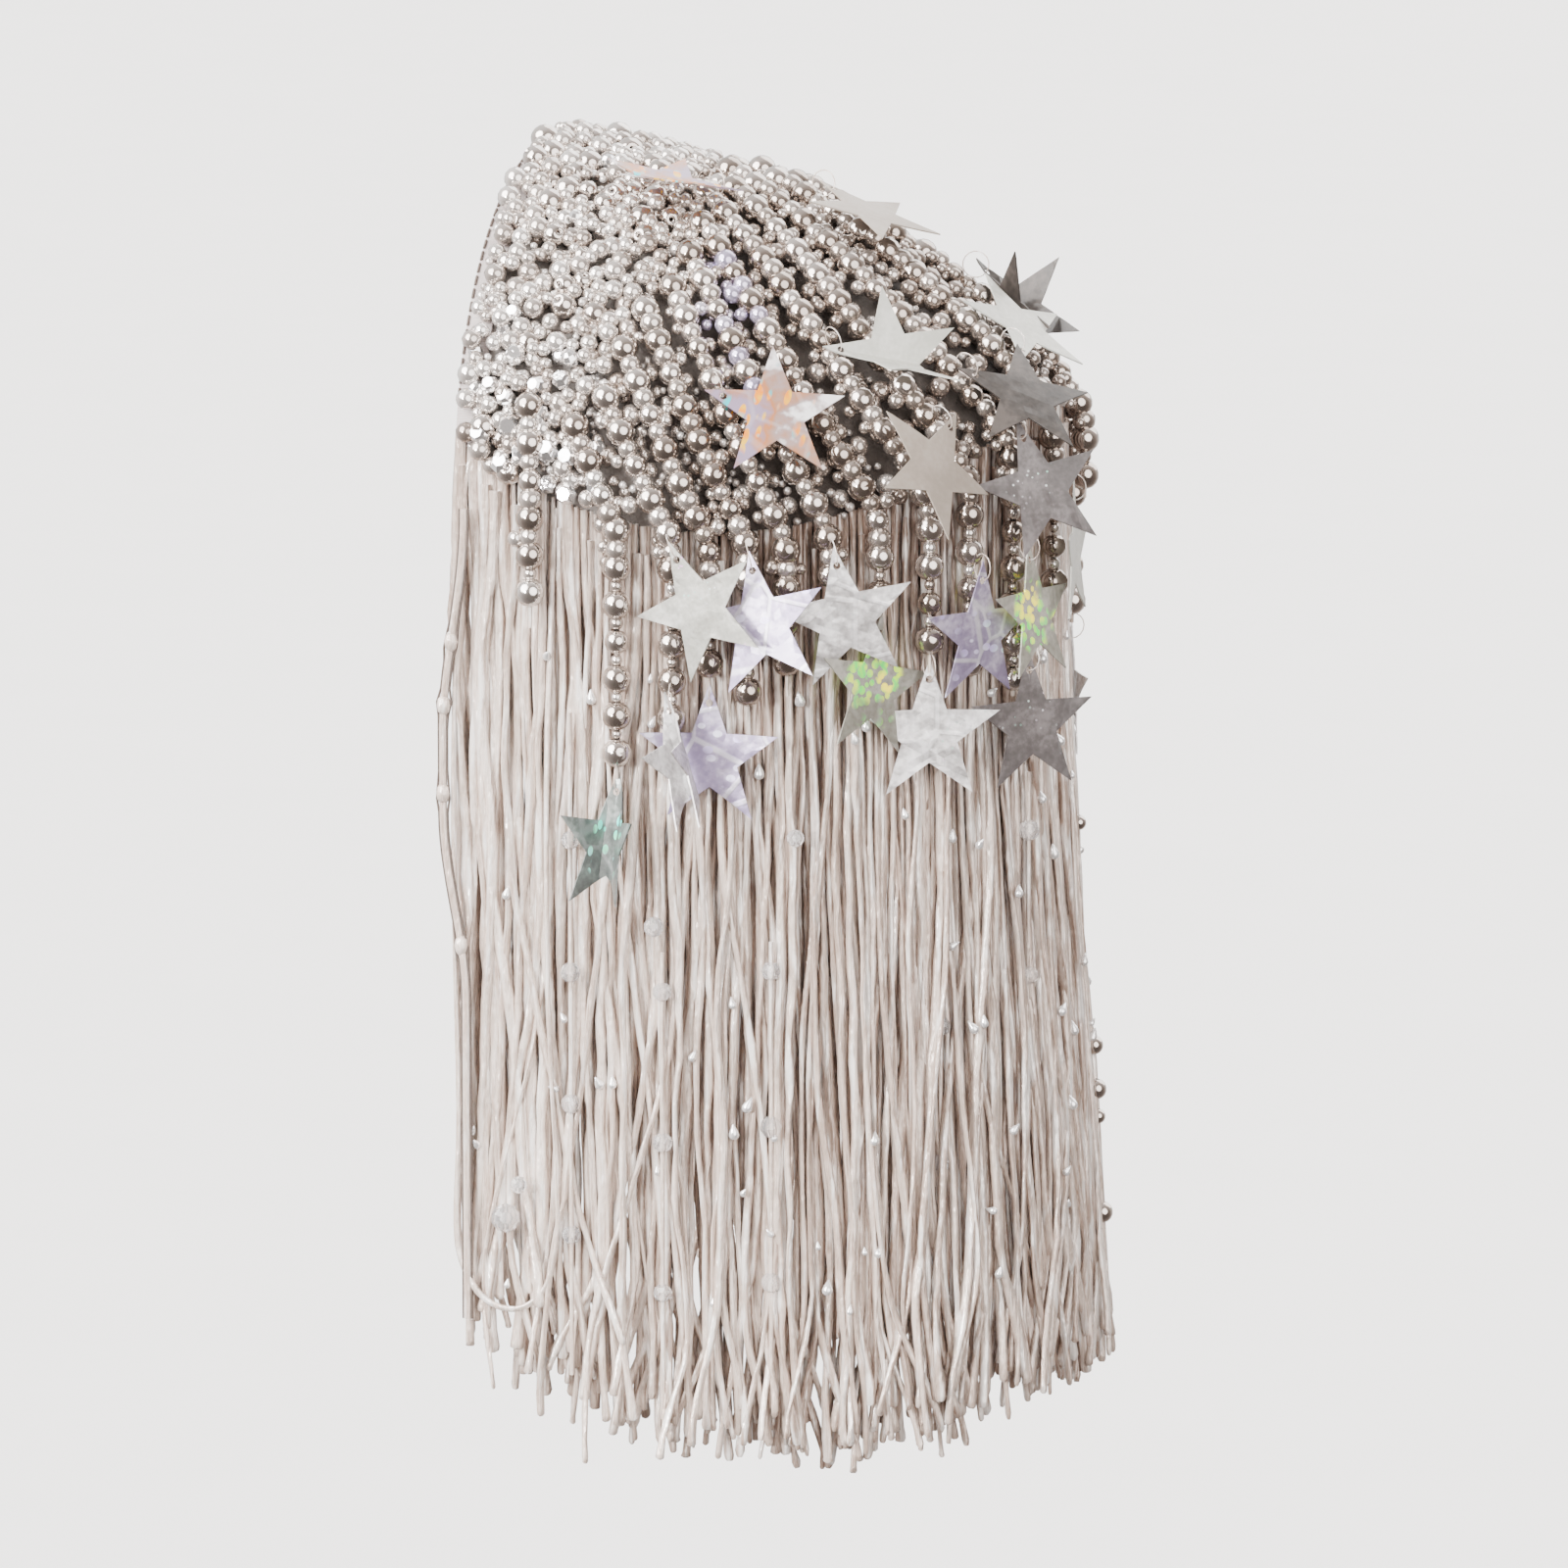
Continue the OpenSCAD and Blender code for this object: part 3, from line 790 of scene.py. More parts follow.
def cords_piece(
    name, lines, radii, finish, slot, nodes=(), tints=0, deeps=0, twists=0, sides=5, flatness=1.0
):
    """Cords along lines in drawing millimetres, as one piece."""
    edges = []
    first = 0
    for line in lines:
        edges += [(first + i, first + i + 1) for i in range(len(line) - 1)]
        first += len(line)
    made = mesh_object(name, seated(np.vstack(lines)), edges=edges)
    give(made, thick=for_points(radii, lines) / 1000, tint=for_points(tints, lines))
    give(made, deep=for_points(deeps, lines), twist=for_points(twists, lines))
    ride(grown(made, CORDS_TREE, Finish=finish, Sides=float(sides), Flatness=flatness), slot, *nodes)


# Camera, light and floor
SHOT_SPAN = 0.325
SHOT_FROM = 2.0
SHOT_AT = np.array([0.02, 0, -0.122])
AZIMUTH = radians(15)
ELEVATION = radians(9)
SENSOR = 36
FLOOR_Z = -1.2
FLOOR_SIZE = 30
# The way that each light comes from, its strength, its spread in degrees and its colour
LIGHTS = {
    "key": ((-0.62, -0.65, 0.6), 10.5, 54, (1, 0.985, 0.97)),
    "fill": ((0.7, -0.7, 0.25), 4.2, 60, (1, 0.965, 0.94)),
    "streak": ((-0.4, -0.88, 0.14), 3.4, 9, (1, 0.99, 0.98)),
    "back": ((0.3, 0.8, 0.7), 3.0, 60, (1, 0.99, 0.98)),
}
# Colours of the room that lights the part, from its dark side to its bright side
ROOM_COLOURS = [
    (0, (0.1, 0.08, 0.07)), (0.3, (0.24, 0.2, 0.18)), (0.5, (0.52, 0.465, 0.43)),
    (0.75, (0.85, 0.8, 0.78)), (1, (1, 0.99, 0.98)),
]


def aim(thing, place, target):
    thing.location = Vector(place)
    thing.rotation_euler = (Vector(target) - Vector(place)).to_track_quat("-Z", "Y").to_euler()


def camera():
    made = linked("camera", bpy.data.cameras.new("camera"))
    made.data.sensor_width = SENSOR
    made.data.lens = SENSOR * SHOT_FROM / SHOT_SPAN
    made.data.clip_end = 20
    level = cos(ELEVATION)
    back = np.array([sin(AZIMUTH) * level, -cos(AZIMUTH) * level, sin(ELEVATION)])
    aim(made, SHOT_AT + SHOT_FROM * back, SHOT_AT)
    bpy.context.scene.camera = made


def soft_sun(name, way, strength, spread, colour):
    """A broad, distant soft light, even over the whole floor."""
    made = linked(name, bpy.data.lights.new(name, "SUN"))
    made.data.energy = strength
    made.data.angle = radians(spread)
    made.data.color = colour
    aim(made, unit(way), (0, 0, 0))


def pale_floor():
    """A plain floor far below, that neither shows in the beads nor lights them."""
    corners = [(FLOOR_SIZE * x, FLOOR_SIZE * y, FLOOR_Z) for x, y in [(-1, -1), (1, -1), (1, 1), (-1, 1)]]
    floor = mesh_object("floor", corners, [(0, 1, 2, 3)])
    f = Finish("pale_floor")
    grain = f.noise(8, 3)
    base = f.mix(grain, (0.9, 0.895, 0.89), (0.93, 0.925, 0.92))
    floor.data.materials.append(f.close(Base_Color=base, Roughness=0.7 + 0.1 * grain))
    floor.visible_glossy = False
    floor.visible_diffuse = False


def room():
    """White where the camera sees it. What lights the part is bright above, to the left and behind."""
    world = bpy.data.worlds.new("studio")
    bpy.context.scene.world = world
    world.use_nodes = True
    tree = Tree(world.node_tree)
    tree.nodes.clear()
    x, y, z = tree.parts(tree.node("ShaderNodeTexCoord")["Generated"])
    side = y * 0.7 - x * 0.5 + z * 0.5
    lit = tree.node("ShaderNodeMapRange", {"Value": side, "From Min": -0.8, "From Max": 0.9})
    seen = tree.node("ShaderNodeBackground", {"Color": (1, 1, 1), "Strength": 3.0})
    light = tree.node("ShaderNodeBackground", {"Color": tree.ramp(lit, ROOM_COLOURS), "Strength": 1.4})
    camera_ray = tree.node("ShaderNodeLightPath")["Is Camera Ray"]
    both = tree.node("ShaderNodeMixShader", {0: camera_ray, 1: light, 2: seen})
    tree.node("ShaderNodeOutputWorld", {"Surface": both})


camera()
for name, light in LIGHTS.items():
    soft_sun(name, *light)
pale_floor()
room()

# Gap under a bead that rests on the board, and distance that beads keep from a star's film
BOARD_GAP = 0.25
FILM_SPACE = 0.9


# Placing beads so that they rest on the board and on each other
class Heap:
    """Beads that are already placed, against which a new one is settled."""

    def __init__(self, films):
        self.films = films
        self.centres = np.zeros((0, 3))
        self.radii = np.zeros(0)

    def add(self, centre, radius):
        self.centres = np.vstack([self.centres, centre])
        self.radii = np.append(self.radii, radius)

    def off_films(self, centre, radius):
        return (((self.films - centre) ** 2).sum(1) > (radius + FILM_SPACE) ** 2).all()

    def clear_of(self, centre, radius, squeeze):
        """True where a bead overlaps no other by more than the squeeze allows, and no star."""
        apart = ((self.centres - centre) ** 2).sum(1)
        reach = (self.radii + radius) * squeeze
        return self.off_films(centre, radius) and (apart >= reach**2).all()

    def rest(self, foot, off, radius, squeeze):
        """Height at which a bead comes to rest above a point of the board's face."""
        apart = self.centres - foot
        along = apart @ off
        aside = (apart**2).sum(1) - along**2
        reach = ((self.radii + radius) * squeeze) ** 2
        hit = aside < reach
        return max([radius + BOARD_GAP, *(along[hit] + np.sqrt(reach[hit] - aside[hit]))])


# Where stars hang
def turned(points, axis, degrees):
    """Points turned about x, y or z."""
    a = radians(degrees)
    c, s = cos(a), sin(a)
    i, j = [(1, 2), (2, 0), (0, 1)][axis]
    done = np.array(points, float)
    done[:, i] = points[:, i] * c - points[:, j] * s
    done[:, j] = points[:, i] * s + points[:, j] * c
    return done


def from_bead(points, strand, bead):
    """Points off a strand's bead, across it and along its thread, as drawing millimetres."""
    centres, headings, offs, _ = BEADS[strand - 1]
    heading, off = headings[bead], offs[bead]
    across = np.cross(heading, off)
    return centres[bead] + points[:, :1] * off + points[:, 1:2] * across + points[:, 2:] * heading


def ring_reach(lift):
    a = radians(lift)
    return (BEAD_R + RING_R - RING_BITE) * np.array([sin(a), 0, cos(a)])


def star_outline():
    """Points along the star's edge, from its top tip, about 1.4 mm apart."""
    turns = [radians(36 * k) for k in range(11)]
    radii = [STAR_INNER_R if k % 2 else STAR_R for k in range(11)]
    tips = [r * np.array([cos(a), sin(a)]) for r, a in zip(radii, turns)]
    steps = (np.arange(7) / 7)[:, None]
    return np.vstack([(1 - steps) * a + steps * b for a, b in zip(tips, tips[1:])])


def inside(p, outline, margin):
    """True for a point within an outline and not nearer to it than a margin."""
    a, b = outline, np.roll(outline, -1, axis=0)
    share = np.clip(((p - a) * (b - a)).sum(1) / ((b - a) ** 2).sum(1), 0, 1)
    near = norm(p - a - share[:, None] * (b - a), axis=1).min()
    spans = (a[:, 1] > p[1]) != (b[:, 1] > p[1])
    cut = a[spans, 0] + (p[1] - a[spans, 1]) / (b[spans, 1] - a[spans, 1]) * (b[spans, 0] - a[spans, 0])
    return (cut > p[0]).sum() % 2 == 1 and near >= margin


# Spacing of the film's points, and the room that they leave at the edge and the hole
FILM_GRID = (1.7, 1.5)
EDGE_ROOM = 0.6
HOLE_ROOM = 0.5


def star_film(rng, crumple):
    """A star of thin film with its hole: points (width, down, off) in millimetres and triangles."""
    outline = star_outline()
    hole_at = np.array([STAR_R - HOLE_IN, 0])
    turns = 2 * pi * np.arange(10) / 10
    hole = hole_at + HOLE_R * np.stack([np.cos(turns), np.sin(turns)], -1)
    down, across = FILM_GRID
    grid = [np.array([down * (i + j % 2 / 2), across * j]) for i in range(-9, 10) for j in range(-10, 11)]
    grid = [
        p for p in grid
        if inside(p, outline, EDGE_ROOM) and norm(p - hole_at) > HOLE_R + HOLE_ROOM
    ]
    n, m = len(outline), len(hole)
    edges = [(i, (i + 1) % n) for i in range(n)] + [(n + i, n + (i + 1) % m) for i in range(m)]
    points = [Vector(p) for p in np.vstack([outline, hole, grid])]
    made, _, triangles, *_ = delaunay_2d_cdt(points, edges, [], 0, 1e-5)
    flat = np.array([tuple(p) for p in made])
    kept = []
    for triangle in triangles:
        middle = flat[list(triangle)].mean(0)
        if inside(middle, outline, 0) and norm(middle - hole_at) > HOLE_R * 0.98:
            kept.append(tuple(triangle))
    off = rng.normal(0, crumple, len(flat))
    return np.column_stack([flat[:, 1], STAR_R - HOLE_IN - flat[:, 0], off]), kept


def folded(points, bend, degrees):
    """Film points bent about the star's length: a soft bend, or a fold by some degrees each side."""
    width, down, off = points.T
    if degrees:
        most = np.radians(np.where(width < 0, *degrees))
        fold = np.minimum(np.abs(width) / FOLD_R, most)
        rest = np.abs(width) - FOLD_R * fold
        across = np.sign(width) * (FOLD_R * np.sin(fold) + rest * np.cos(fold))
        return np.column_stack([off + FOLD_R * (1 - np.cos(fold)) + rest * np.sin(fold), across, down])
    bow = bend[0] * width**2 / STAR_R + bend[1] * width * (down - STAR_R + HOLE_IN) / STAR_R
    return np.column_stack([off + bow, width, down])


# Radii of a star between the clouds of one star and the next, and most bend of a film
CLOUDS_APART = 3.7
FILM_BEND = 0.09


def hung_film(i, row):
    """The film of a star where it hangs, its triangles, and each point's place on the film."""
    rng = np.random.default_rng(300 + i)
    strand, bead, lift, turn, tilt, swing, foil = row
    film, faces = star_film(rng, CRUMPLE[foil])
    shape = folded(film, rng.uniform(-FILM_BEND, FILM_BEND, 2), FOLDS.get(i + 1))
    hung = turned(turned(turned(shape, 1, tilt), 2, turn), 0, swing)
    hung = hung + ring_reach(lift) + [0, 0, RING_R]
    deep = np.full(len(film), CLOUDS_APART * STAR_R * i)
    place = np.column_stack([film[:, 0], film[:, 1] - STAR_R + HOLE_IN, deep]) / STAR_R
    return from_bead(hung, strand, bead), faces, place


FILMS = [hung_film(i, row) for i, row in enumerate(STARS)]
rng = np.random.default_rng(11)
heap = Heap(np.vstack([film for film, _, _ in FILMS]))
# Beads of each piece, as centre, radius, heading and tint
large, berries, lilac = [], [], []
lone, stones, carpet, seeds, bright = [], [], [], [], []
# Two strands whose beads are lilac from one length to another on the dome, and one where it hangs
LILAC_STRANDS = (6, 7)
LILAC_FROM = 6
LILAC_TO = 36
LILAC_SHARE = 0.6
LILAC_HANGING = 5
# How far beads may press into each other, as the share of their distance that is left
TIGHT, CLOSE, SNUG, LOOSE = 0.66, 0.72, 0.8, 0.86
# Rope beads on a thread: height off it and radius. Those beside it: pitch, way across, height, radius
ON_UP, ON_R = (-0.3, 0.9), (1.9, 2.5)
BESIDE_PITCH, BESIDE_ACROSS, BESIDE_UP, BESIDE_R = 1.5, (1.9, 3.1), (-2.6, 0.3), (1.2, 2.1)
HANGING_SEED_R = (1.0, 1.5)


def towards_arm(x):
    """0 near the inner edge and 1 towards the arm, where beads are darker and browner as painted shade."""
    return float(smooth(15, 75, x))


# Random tint for a bead, with painted shade towards the arm
def bead_tint(x):
    return float(np.clip(rng.normal(0.62, 0.24) - 0.52 * towards_arm(x), 0, 1))


def rope_share(p):
    """How full the ropes of small beads are: full near the ridge, thin low on the front."""
    return 1 - 0.8 * (smooth(-12, -34, p[:, 2]) * smooth(0, -20, p[:, 1]))


def rope_bead(number, centre, radius, from_top, squeeze):
    """Keeps a bead of a rope if it fits."""
    if heap.clear_of(centre, radius, squeeze):
        in_lilac = number in LILAC_STRANDS and LILAC_FROM < from_top < LILAC_TO
        store = lilac if in_lilac and rng.random() < LILAC_SHARE else berries
        store.append((centre, radius, unit(rng.normal(size=3)), bead_tint(centre[0])))
        heap.add(centre, radius)


for centres, headings, _, _ in BEADS:
    for j, centre in enumerate(centres):
        size = SMALL_BEAD_R if j % 4 == 2 else BEAD_R
        # Painted shade: large beads are darker towards the arm too
        large.append((centre, size, headings[j], rng.uniform(0.1, 1) - 0.45 * towards_arm(centre[0])))
        heap.add(centre, size)

# Beads that make a rope of each strand where it lies on the dome: some on the thread between
# the large ones, and a row down each side of it
for number, ((_, _, _, hangs), line) in enumerate(zip(BEADS, LINES)):
    draped = BEAD_PITCH * int((~hangs).sum())
    d = BEAD_PITCH * (np.arange(int(draped / BEAD_PITCH)) + 0.5)
    p, _ = along_line(line, d)
    off = dome_normal(p)
    for k in range(len(d)):
        rope_bead(number, p[k] + rng.uniform(*ON_UP) * off[k], rng.uniform(*ON_R), d[k], TIGHT)
    for side in (-1, 1):
        d = np.arange(0, draped, BESIDE_PITCH) + rng.uniform(0, BESIDE_PITCH)
        p, heading = along_line(line, np.minimum(d, draped))
        off = dome_normal(p)
        across = side * np.cross(heading, off)
        full = rope_share(p)
        for k in range(len(d)):
            centre = p[k] + rng.uniform(*BESIDE_ACROSS) * across[k] + rng.uniform(*BESIDE_UP) * off[k]
            if rng.random() < full[k]:
                rope_bead(number, centre, rng.uniform(*BESIDE_R), d[k], CLOSE)

# A seed between the large beads where a strand hangs
for number, ((_, _, _, hangs), line) in enumerate(zip(BEADS, LINES)):
    store = lilac if number == LILAC_HANGING else berries
    for j in np.flatnonzero(hangs):
        p, heading = along_line(line, np.array([BEAD_PITCH * (j - 0.5)]))
        store.append((p[0], rng.uniform(*HANGING_SEED_R), heading[0], rng.random()))

# Part of the dome where beads drop: places along the axis, and turn to each side
DROP_ALONG = (-18, 108)
DROP_TURN = radians(84)
# The dome's greatest width, by which narrow parts get fewer beads
WIDEST = 65
# Place out from the inner edge where beads start, thickness of the binding under them, and
# height above the rim where they stop
OVER_BINDING = 0.6
BINDING_T = 1.0
ABOVE_RIM = 0.8


def thinning(low, high, least, v):
    """1 below low, and the least above high."""
    return least + (1 - least) * (1 - smooth(low, high, v))


def scatter(store, tries, radii, cap, thins, squeeze=LOOSE, low_share=1):
    """Drops beads on the dome. Each rests on what lies there, up to a height. They thin out along the
    axis, and those with a low share also down the sides."""
    s = rng.uniform(*DROP_ALONG, tries)
    turn = rng.uniform(-DROP_TURN, DROP_TURN, tries)
    feet = dome_at(s, turn, 0)
    offs = dome_normal(feet)
    on_board = (feet[:, 0] > OVER_BINDING + 0.5 * radii[0]) & (feet[:, 2] > rim_z(feet[:, 0]) + ABOVE_RIM)
    cover = thinning(*thins, s) * thinning(0.3, 0.85, low_share, np.abs(turn))
    wanted = rng.random(tries) * WIDEST < width_at(s) * cover
    for i in np.flatnonzero(on_board & wanted):
        radius = rng.uniform(*radii)
        h = heap.rest(feet[i], offs[i], radius, squeeze)
        if feet[i, 0] < BINDING_W:
            h = max(h, radius + BINDING_T)
        centre = feet[i] + h * offs[i]
        if h < cap and heap.off_films(centre, radius):
            store.append((centre, radius, unit(rng.normal(size=3) + 0.8 * offs[i]), bead_tint(centre[0])))
            heap.add(centre, radius)


scatter(lone, 3000, (2.0, 3.0), 4.2, (24, 36, 0), low_share=0.1)
scatter(stones, 420, (1.5, 2.2), 4.6, (20, 40, 0))
scatter(carpet, 18000, (1.35, 2.5), 4.5, (30, 52, 0.16), CLOSE)
scatter(seeds, 13000, (0.8, 1.25), 3.4, (32, 58, 0.4), SNUG)

# Place out from the inner edge, degrees above the rim and radius of the bright flat stones
BRIGHT_STONES = [
    (3, 12, 1.9), (4, 4, 2.2), (8.5, 8, 2.5), (12.5, 6, 2.6), (16.5, 8, 2.4), (13, 13, 2.1),
    (9, 2, 2.2), (5.5, 19, 2.1), (20.5, 9, 2.3), (22, 3, 2.2), (25, 12, 2.0), (15, 20, 2.0),
    (27, 6, 2.2), (11, 17, 1.9), (18, 3, 2.0), (2.5, 25, 1.8), (6.5, 12, 2.0),
]
# The way that most of them face, and their height off the board
STONES_FACE = unit([-0.18, -0.89, 0.41])
STONES_UP = 4.3
for x, above, radius in BRIGHT_STONES:
    foot = dome_at(rim_s(x), rim_turn(x) - radians(above), 0)
    off = dome_normal(foot)
    facing = unit(STONES_FACE + 0.25 * off + rng.normal(0, 0.17, 3))
    bright.append((foot + STONES_UP * off, radius, facing, 1))

strand_nodes = ["bead_strand_%02d" % (i + 1) for i in range(len(STRANDS))]
beads_piece("strand_large_beads", large, round_bead, large_silver, "silver_bead", *strand_nodes)
beads_piece("strand_small_beads", berries, plain_bead, small_silver, "silver_bead")
beads_piece("strand_lilac_beads", lilac, plain_bead, lilac_silver, "silver_bead")
beads_piece("carpet_round_beads", carpet, plain_bead, soft_silver, "bead_carpet", "bead_carpet")
beads_piece("carpet_large_beads", lone, round_bead, large_silver, "bead_carpet")
beads_piece("carpet_seeds", seeds, seed_bead, lined_seed, "bead_carpet")
beads_piece("carpet_cut_stones", stones, cut_bead, rhinestone, "bead_carpet")
beads_piece("carpet_bright_stones", bright, flat_stone, rhinestone, "bead_carpet")

# Threads of the strands and the rings that carry the stars
THREAD_R = 0.45
angles = 2 * pi * np.arange(17) / 16
loop = RING_R * np.stack([np.sin(angles), 0 * angles, np.cos(angles)], -1)
rings = [from_bead(loop + ring_reach(lift), strand, bead) for strand, bead, lift, *_ in STARS]
threads = LINES + rings
thread_r = [THREAD_R] * len(LINES) + [RING_SHOWN_R] * len(rings)
thread_tints = rng.uniform(0.3, 1, len(threads))
cords_piece("strand_threads", threads, thread_r, fringe_cord, "silver_bead", tints=thread_tints)

# Stars
FILM_T = 0.0003
for i, (film, faces, place) in enumerate(FILMS):
    foil = STARS[i][-1]
    star = mesh_object("star_foil_%02d" % (i + 1), seated(film), faces, flat=True)
    give(star, film=place, reach=np.hypot(place[:, 0], place[:, 1]))
    solid = star.modifiers.new("film", "SOLIDIFY")
    solid.thickness = FILM_T
    solid.offset = 0
    star.data.materials.append(foils[OTHER_FILMS.get(i + 1, foil)])
    ride(star, "foil_" + foil, "star_%02d" % (i + 1))

# Thickness of a cord of the curtain as a share of its width
CORD_FLATNESS = 0.6
# How far the curtain swings out at the tips of its outer end
TIP_FLARE = 8.5
# The curtain of cords, in layers: number, distance off the rim, painted shade that darkens it, share that
# cross
CORD_LAYERS = [
    (64, 1.9, 0.0, 1.0),
    (165, 0.7, 0.0, 0.35),
    (180, -0.7, 0.1, 0.25),
    (170, -2.1, 0.35, 0.2),
    (190, -3.7, 0.65, 0.1),
]
# Turns where the curtain starts and ends, and number of the clumps that its cords draw into
CURTAIN_ENDS = np.radians([-100.5, 100.5])
CLUMPS = 48
# Spreads, in millimetres: sway of a cord, crossing over others, its tip to the side, its length, and
# how far it stands out above and below
SWAY, CROSSING, TIP_SIDE, LENGTH, PUFF_UP, PUFF_DOWN = 1.9, 8.5, 4.6, 3, 0.7, 1.2
# Smaller waves of a cord: least and most size, and least and most waves down its length
RIPPLES = [(0.2, 1.1, 1.2, 2.6), (0.05, 0.3, 4, 9)]
# Half the width of a cord, least and most, how much it changes along it, and change of its twist
CORD_R, UNEVEN, TWISTING = (0.68, 1.34), 0.13, 0.32
# Shares of a cord's length, close together at its tip, and its width there
TIP_PLACES = [0.993, 0.998, 1]
TIP_WIDTHS = [1.06, 0.95, 0.55]
# A long cord that hangs in a loop at the inner front corner: turn round the curtain, height, out
LOOP_CORD = [
    (-97.5, -54, 0), (-98.5, -64, 1.6), (-99.5, -105, 3), (-99.5, -150, 3.4), (-99, -190, 3.4),
    (-99.4, -213, 3.4), (-98.4, -222, 3.6), (-96, -228, 3.8), (-92.5, -230, 3.8), (-89.6, -227, 3.8),
    (-88, -219, 3.8), (-87.6, -205, 3.6), (-88.6, -170, 3.2), (-88.8, -120, 2.6), (-88, -66, 1),
]


def through(points, steps):
    """A smooth line through points."""
    p = np.asarray(points, float)
    p = np.vstack([2 * p[0] - p[1], p, 2 * p[-1] - p[-2]])
    u = (np.arange(steps) / steps)[:, None]
    legs = [curve(b, c, (c - a) / 2, (d - b) / 2, u) for a, b, c, d in zip(p, p[1:], p[2:], p[3:])]
    return np.vstack(legs + [p[-2:-1]])


def wave(rng, u, size, low, high):
    """A sideways swing of some millimetres, none at the top."""
    swing = np.sin(2 * pi * (rng.uniform(low, high) * u + rng.random()))
    return size * (swing - swing[0]) * smooth(0, 0.2, u)


def outer_share(turn):
    """1 at the curtain's outer end, 0 at its front and back."""
    return max(cos(turn), 0) ** 2


def tips_at(x):
    """Height of the curtain's lower edge."""
    return 2 + 3 * smooth(80, 108, x) - TIPS_DOWN - sqrt(max(TIPS_R**2 - (x - TIPS_OUT) ** 2, 0))


def curtain():
    """The fringe's cords, each as its line, radii, tint, depth shade, twist and turn round the part."""
    rng = np.random.default_rng(23)
    cords = []
    turns = np.radians(np.linspace(-108, 108, 433))
    runs = np.concatenate([[0], np.cumsum(steps_of(oval_at(turns, 0)))])
    first, last = np.interp(CURTAIN_ENDS, turns, runs)
    clumps = rng.uniform(first, last, CLUMPS)
    lights = rng.normal(0, 0.16, CLUMPS)
    u = np.concatenate([np.linspace(0, 1, 40)[:-1], TIP_PLACES])
    taper = np.interp(u, [0.98, *TIP_PLACES], [1, *TIP_WIDTHS])
    for count, out, deep, crossing in CORD_LAYERS:
        for k in range(count):
            start = first + (last - first) * (k + rng.uniform(0.1, 0.9)) / count
            start_turn = np.interp(start, runs, turns)
            nearest = np.abs(clumps - start).argmin()
            x = oval_at(start_turn, out)[0]
            low = tips_at(x) + rng.normal(0, LENGTH)
            top = rim_z(x) + (1.5 if out < 1 else -4)
            pull = rng.uniform(0.15, 0.6) * (1 if out > 0 else 0.2)
            side = (clumps[nearest] - start) * pull * smooth(0.03, 0.8, u)
            side = side + wave(rng, u, rng.normal(0, SWAY), 0.3, 0.8)
            for least, most, slow, fast in RIPPLES:
                side = side + wave(rng, u, rng.uniform(least, most), slow, fast)
            if rng.random() < crossing:
                side = side + rng.normal(0, CROSSING) * smooth(rng.uniform(0, 0.6), 1, u)
            side = side + rng.normal(0, TIP_SIDE) * smooth(0.83, 1.02, u)
            puff = rng.normal(0, PUFF_UP) * smooth(0.05, 0.4, u) + rng.normal(0, PUFF_DOWN) * u**2
            puff = puff + wave(rng, u, rng.uniform(0, 0.5), 1, 3)
            puff = puff + rng.normal(0.2, 1.5) * smooth(0.86, 1.02, u)
            puff = puff + TIP_FLARE * outer_share(start_turn) * smooth(0.2, 1, u)
            inset = 1.7 - 3.2 * smooth(0, 0.2, u) + 5 * u
            turn = np.interp(np.clip(start + side, first + inset, last - inset), runs, turns)
            line = np.column_stack([oval_at(turn, out + puff), top + (low - top) * u])
            radii = rng.uniform(*CORD_R) * (1 + rng.uniform(-UNEVEN, UNEVEN, len(u))) * taper
            twist = rng.uniform(0, pi) + np.cumsum(rng.normal(0, TWISTING, len(u)))
            # Painted light: cords towards the front of the inner end get a lighter tint; each clump also
            # shifts it at random
            light = 0.52 + 0.42 * smooth(-0.9, -1.5, turn[0]) + lights[nearest]
            tint = np.clip(rng.normal(light, 0.24), 0, 1)
            shade = (0.4 + 0.6 * smooth(-1.35, -0.9, turn[0])) * (1 - smooth(0.02, 0.17, u))
            cords.append((line, radii, tint, np.minimum(deep + shade, 1), twist, turn[20]))
    loop = through(LOOP_CORD, 5)
    line = np.column_stack([oval_at(np.radians(loop[:, 0]), loop[:, 2]), loop[:, 1]])
    cords.append((line, 0.8, 1, 0, np.linspace(0, 5, len(loop)), -1.6))
    return cords


# Pieces of the curtain: turns from and to, in radians, and the CAD node that one of them replaces
CURTAIN_PIECES = {
    "fringe_front": (-2, -0.75, ["fringe"]),
    "fringe_side": (-0.75, 0.75, []),
    "fringe_back": (0.75, 2, []),
}
cords = curtain()
for name, (low, high, nodes) in CURTAIN_PIECES.items():
    chosen = [cord[:-1] for cord in cords if low <= cord[-1] < high]
    lines, radii, tints, deeps, twists = zip(*chosen)
    cords_piece(name, lines, radii, fringe_cord, "fringe_cord", nodes, tints, deeps, twists, 6, CORD_FLATNESS)

# Loose clear beads in front of the cords: turn round the curtain, height and radius
LOOSE_GLASS = [
    (-93.1, -211, 3.0), (-91.6, -204, 1.8), (-76, -150, 2.1), (-58, -132, 1.8),
]
# Silvered beads on the outer end's edge: turn round the curtain, height and radius
EDGE_BEADS = [
    (8, -138, 1.6), (9, -185, 2.0), (8, -194, 2.2), (9, -200, 1.6), (8, -220, 2.3),
]


def in_front(turn, z, off):
    """A place off the curtain's face, at a turn in degrees and a height."""
    turn = radians(turn)
    return [*oval_at(turn, off + TIP_FLARE * outer_share(turn) * smooth(-75, -248, z)), z]


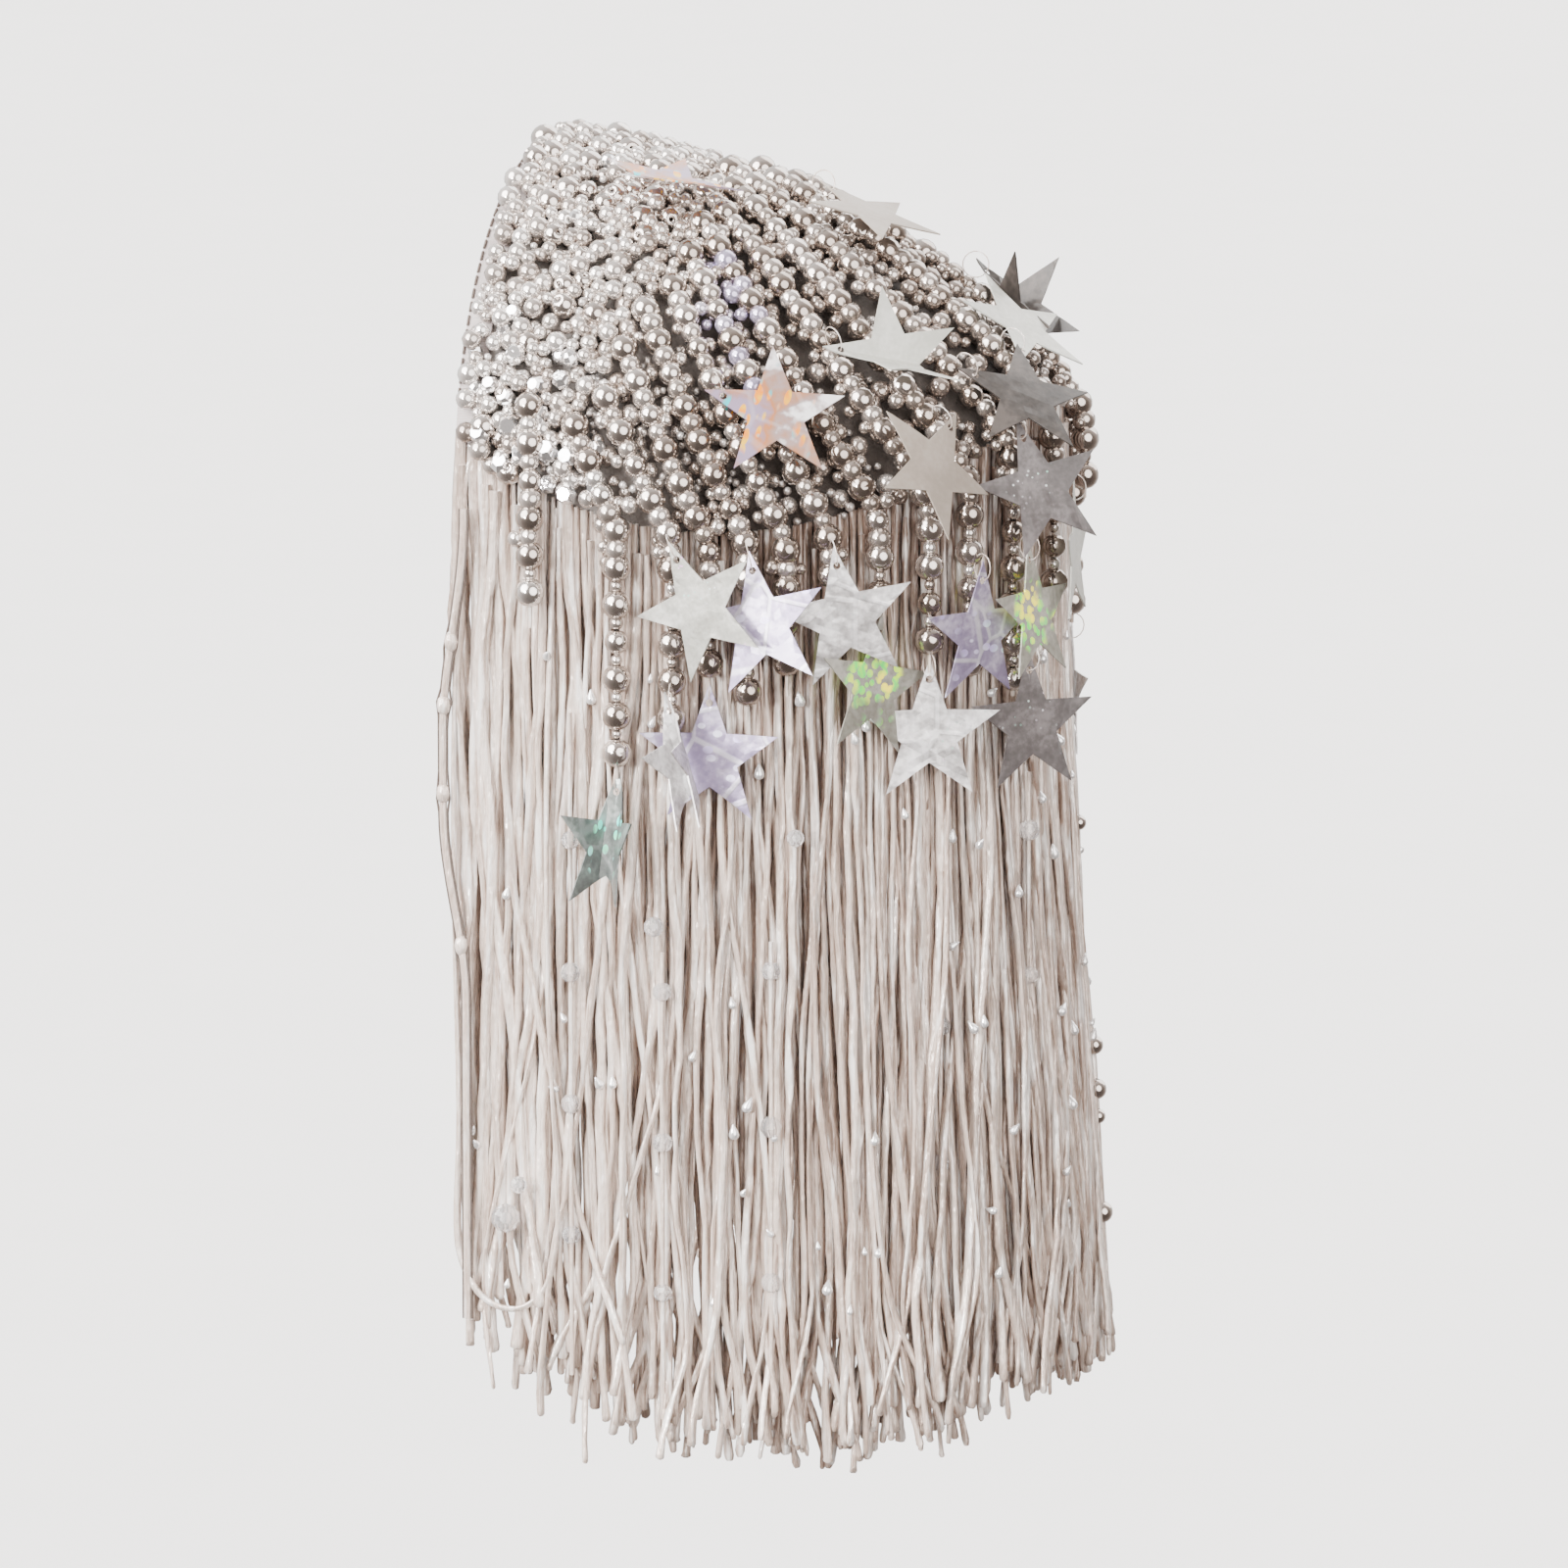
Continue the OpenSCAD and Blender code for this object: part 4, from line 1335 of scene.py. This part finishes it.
# Cords that carry cut glass. The first has knots, bows out to the side and is edged by dark thread
THREAD_BOW = 4.6
KNOTS_DOWN = (39, 52, 70, 101)
KNOT_R = 1.5
KNOTTED_R = 0.8
EDGE_THREAD_R = 0.26
HELD_R = 0.5
held, glass = [], []
for i, (turn, top, bottom, first, spacing, count) in enumerate(CRYSTAL_CORDS):
    x, y = oval_at(radians(turn), CRYSTAL_OUT)
    z = rim_z(x)
    drop = np.linspace(top, bottom, 24 if i else 60)
    bow = 0 * drop if i else THREAD_BOW * smooth(14, 58, drop) * smooth(112, 74, drop)
    held.append(np.column_stack([x - bow, 0 * drop + y, z - drop]))
    if i == 0:
        knots = [([x - np.interp(at, drop, bow), y, z - at], KNOT_R, [0, 0, 1], 0.9) for at in KNOTS_DOWN]
        bulge = sum(np.exp(-((drop - at) / 1.6) ** 2) for at in KNOTS_DOWN)
        sides = [held[0] + (side * (0.9 + 0.7 * bulge))[:, None] * [1, 0, 0] for side in (-1, 1)]
        continue
    for k in range(count):
        place = [x, y, z - first - k * spacing]
        glass.append((place, CRYSTAL_R * rng.uniform(0.9, 1.1), unit(rng.normal(size=3)), 0.5))
glass += [(in_front(turn, z, 4.6), radius, unit([0.3, -1, 0.2]), 0.5) for turn, z, radius in LOOSE_GLASS]
edge_beads = [(in_front(turn, z, 2.6), radius, [0, 0, 1], 0.3) for turn, z, radius in EDGE_BEADS]
cord_nodes = ["crystal_cord_%02d" % (i + 1) for i in range(len(CRYSTAL_CORDS))]
cords_piece("edge_threads", sides, EDGE_THREAD_R, dark_thread, "crystal")
cords_piece("knotted_cord", held[:1], KNOTTED_R, fringe_cord, "crystal", cord_nodes[:1], tints=0.9, sides=8)
cords_piece("crystal_cords", held[1:], HELD_R, fringe_cord, "crystal", cord_nodes[1:], tints=0.8)
beads_piece("crystal_beads", glass, cut_bead, cut_glass, "crystal")
beads_piece("edge_knots", knots, knot, fringe_cord, "fringe_cord")
beads_piece("outer_edge_beads", edge_beads, round_bead, large_silver, "crystal")

# The stitches that edge the binding: turns, place out from the inner edge, height off the dome
EDGE_TURNS = np.radians(np.linspace(-74, 74, 120))
EDGE_OUT = -1.0
EDGE_UP = 1.35
STITCH_LENGTH = 2.2
STITCH_GAP = 0.9
STITCH_R = 0.28


def inner_edge(turn, out, h):
    """Points at a distance out from the straight inner edge, a height off the dome."""
    s = np.zeros_like(turn)
    for _ in range(4):
        s = out / cos(RIDGE_FALL) - width_at(s) * np.cos(turn) * tan(RIDGE_FALL)
    return dome_at(s, turn, h)


edge_line = inner_edge(EDGE_TURNS, EDGE_OUT, EDGE_UP)
starts = np.arange(0, steps_of(edge_line).sum() - STITCH_LENGTH, STITCH_LENGTH + STITCH_GAP)
dashes = [along_line(edge_line, start + STITCH_LENGTH * np.array([0, 0.5, 0.999]))[0] for start in starts]
cords_piece("edge_stitches", dashes, STITCH_R, dark_thread, "fringe_cord")

# Small clear drops that cling to the cords
DROPS = 110
drops = []
for _ in range(DROPS):
    turn = rng.uniform(-100, 100)
    z = rim_z(oval_at(radians(turn), 1.6)[0]) - rng.uniform(20, 170)
    drops.append((in_front(turn, z, 2.4), rng.uniform(0.6, 1.2), unit(rng.normal(size=3) + [0, 0, 3]), 1))
beads_piece("fringe_drops", drops, drop_bead, bright_stone, "crystal")

# Board, lining and binding
for node, finish in (("board", board_cloth), ("lining", lining_cloth), ("inner_binding", binding_satin)):
    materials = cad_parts[node].data.materials
    materials.clear()
    materials.append(finish)

for shape in SHAPES:
    bpy.data.objects.remove(shape)
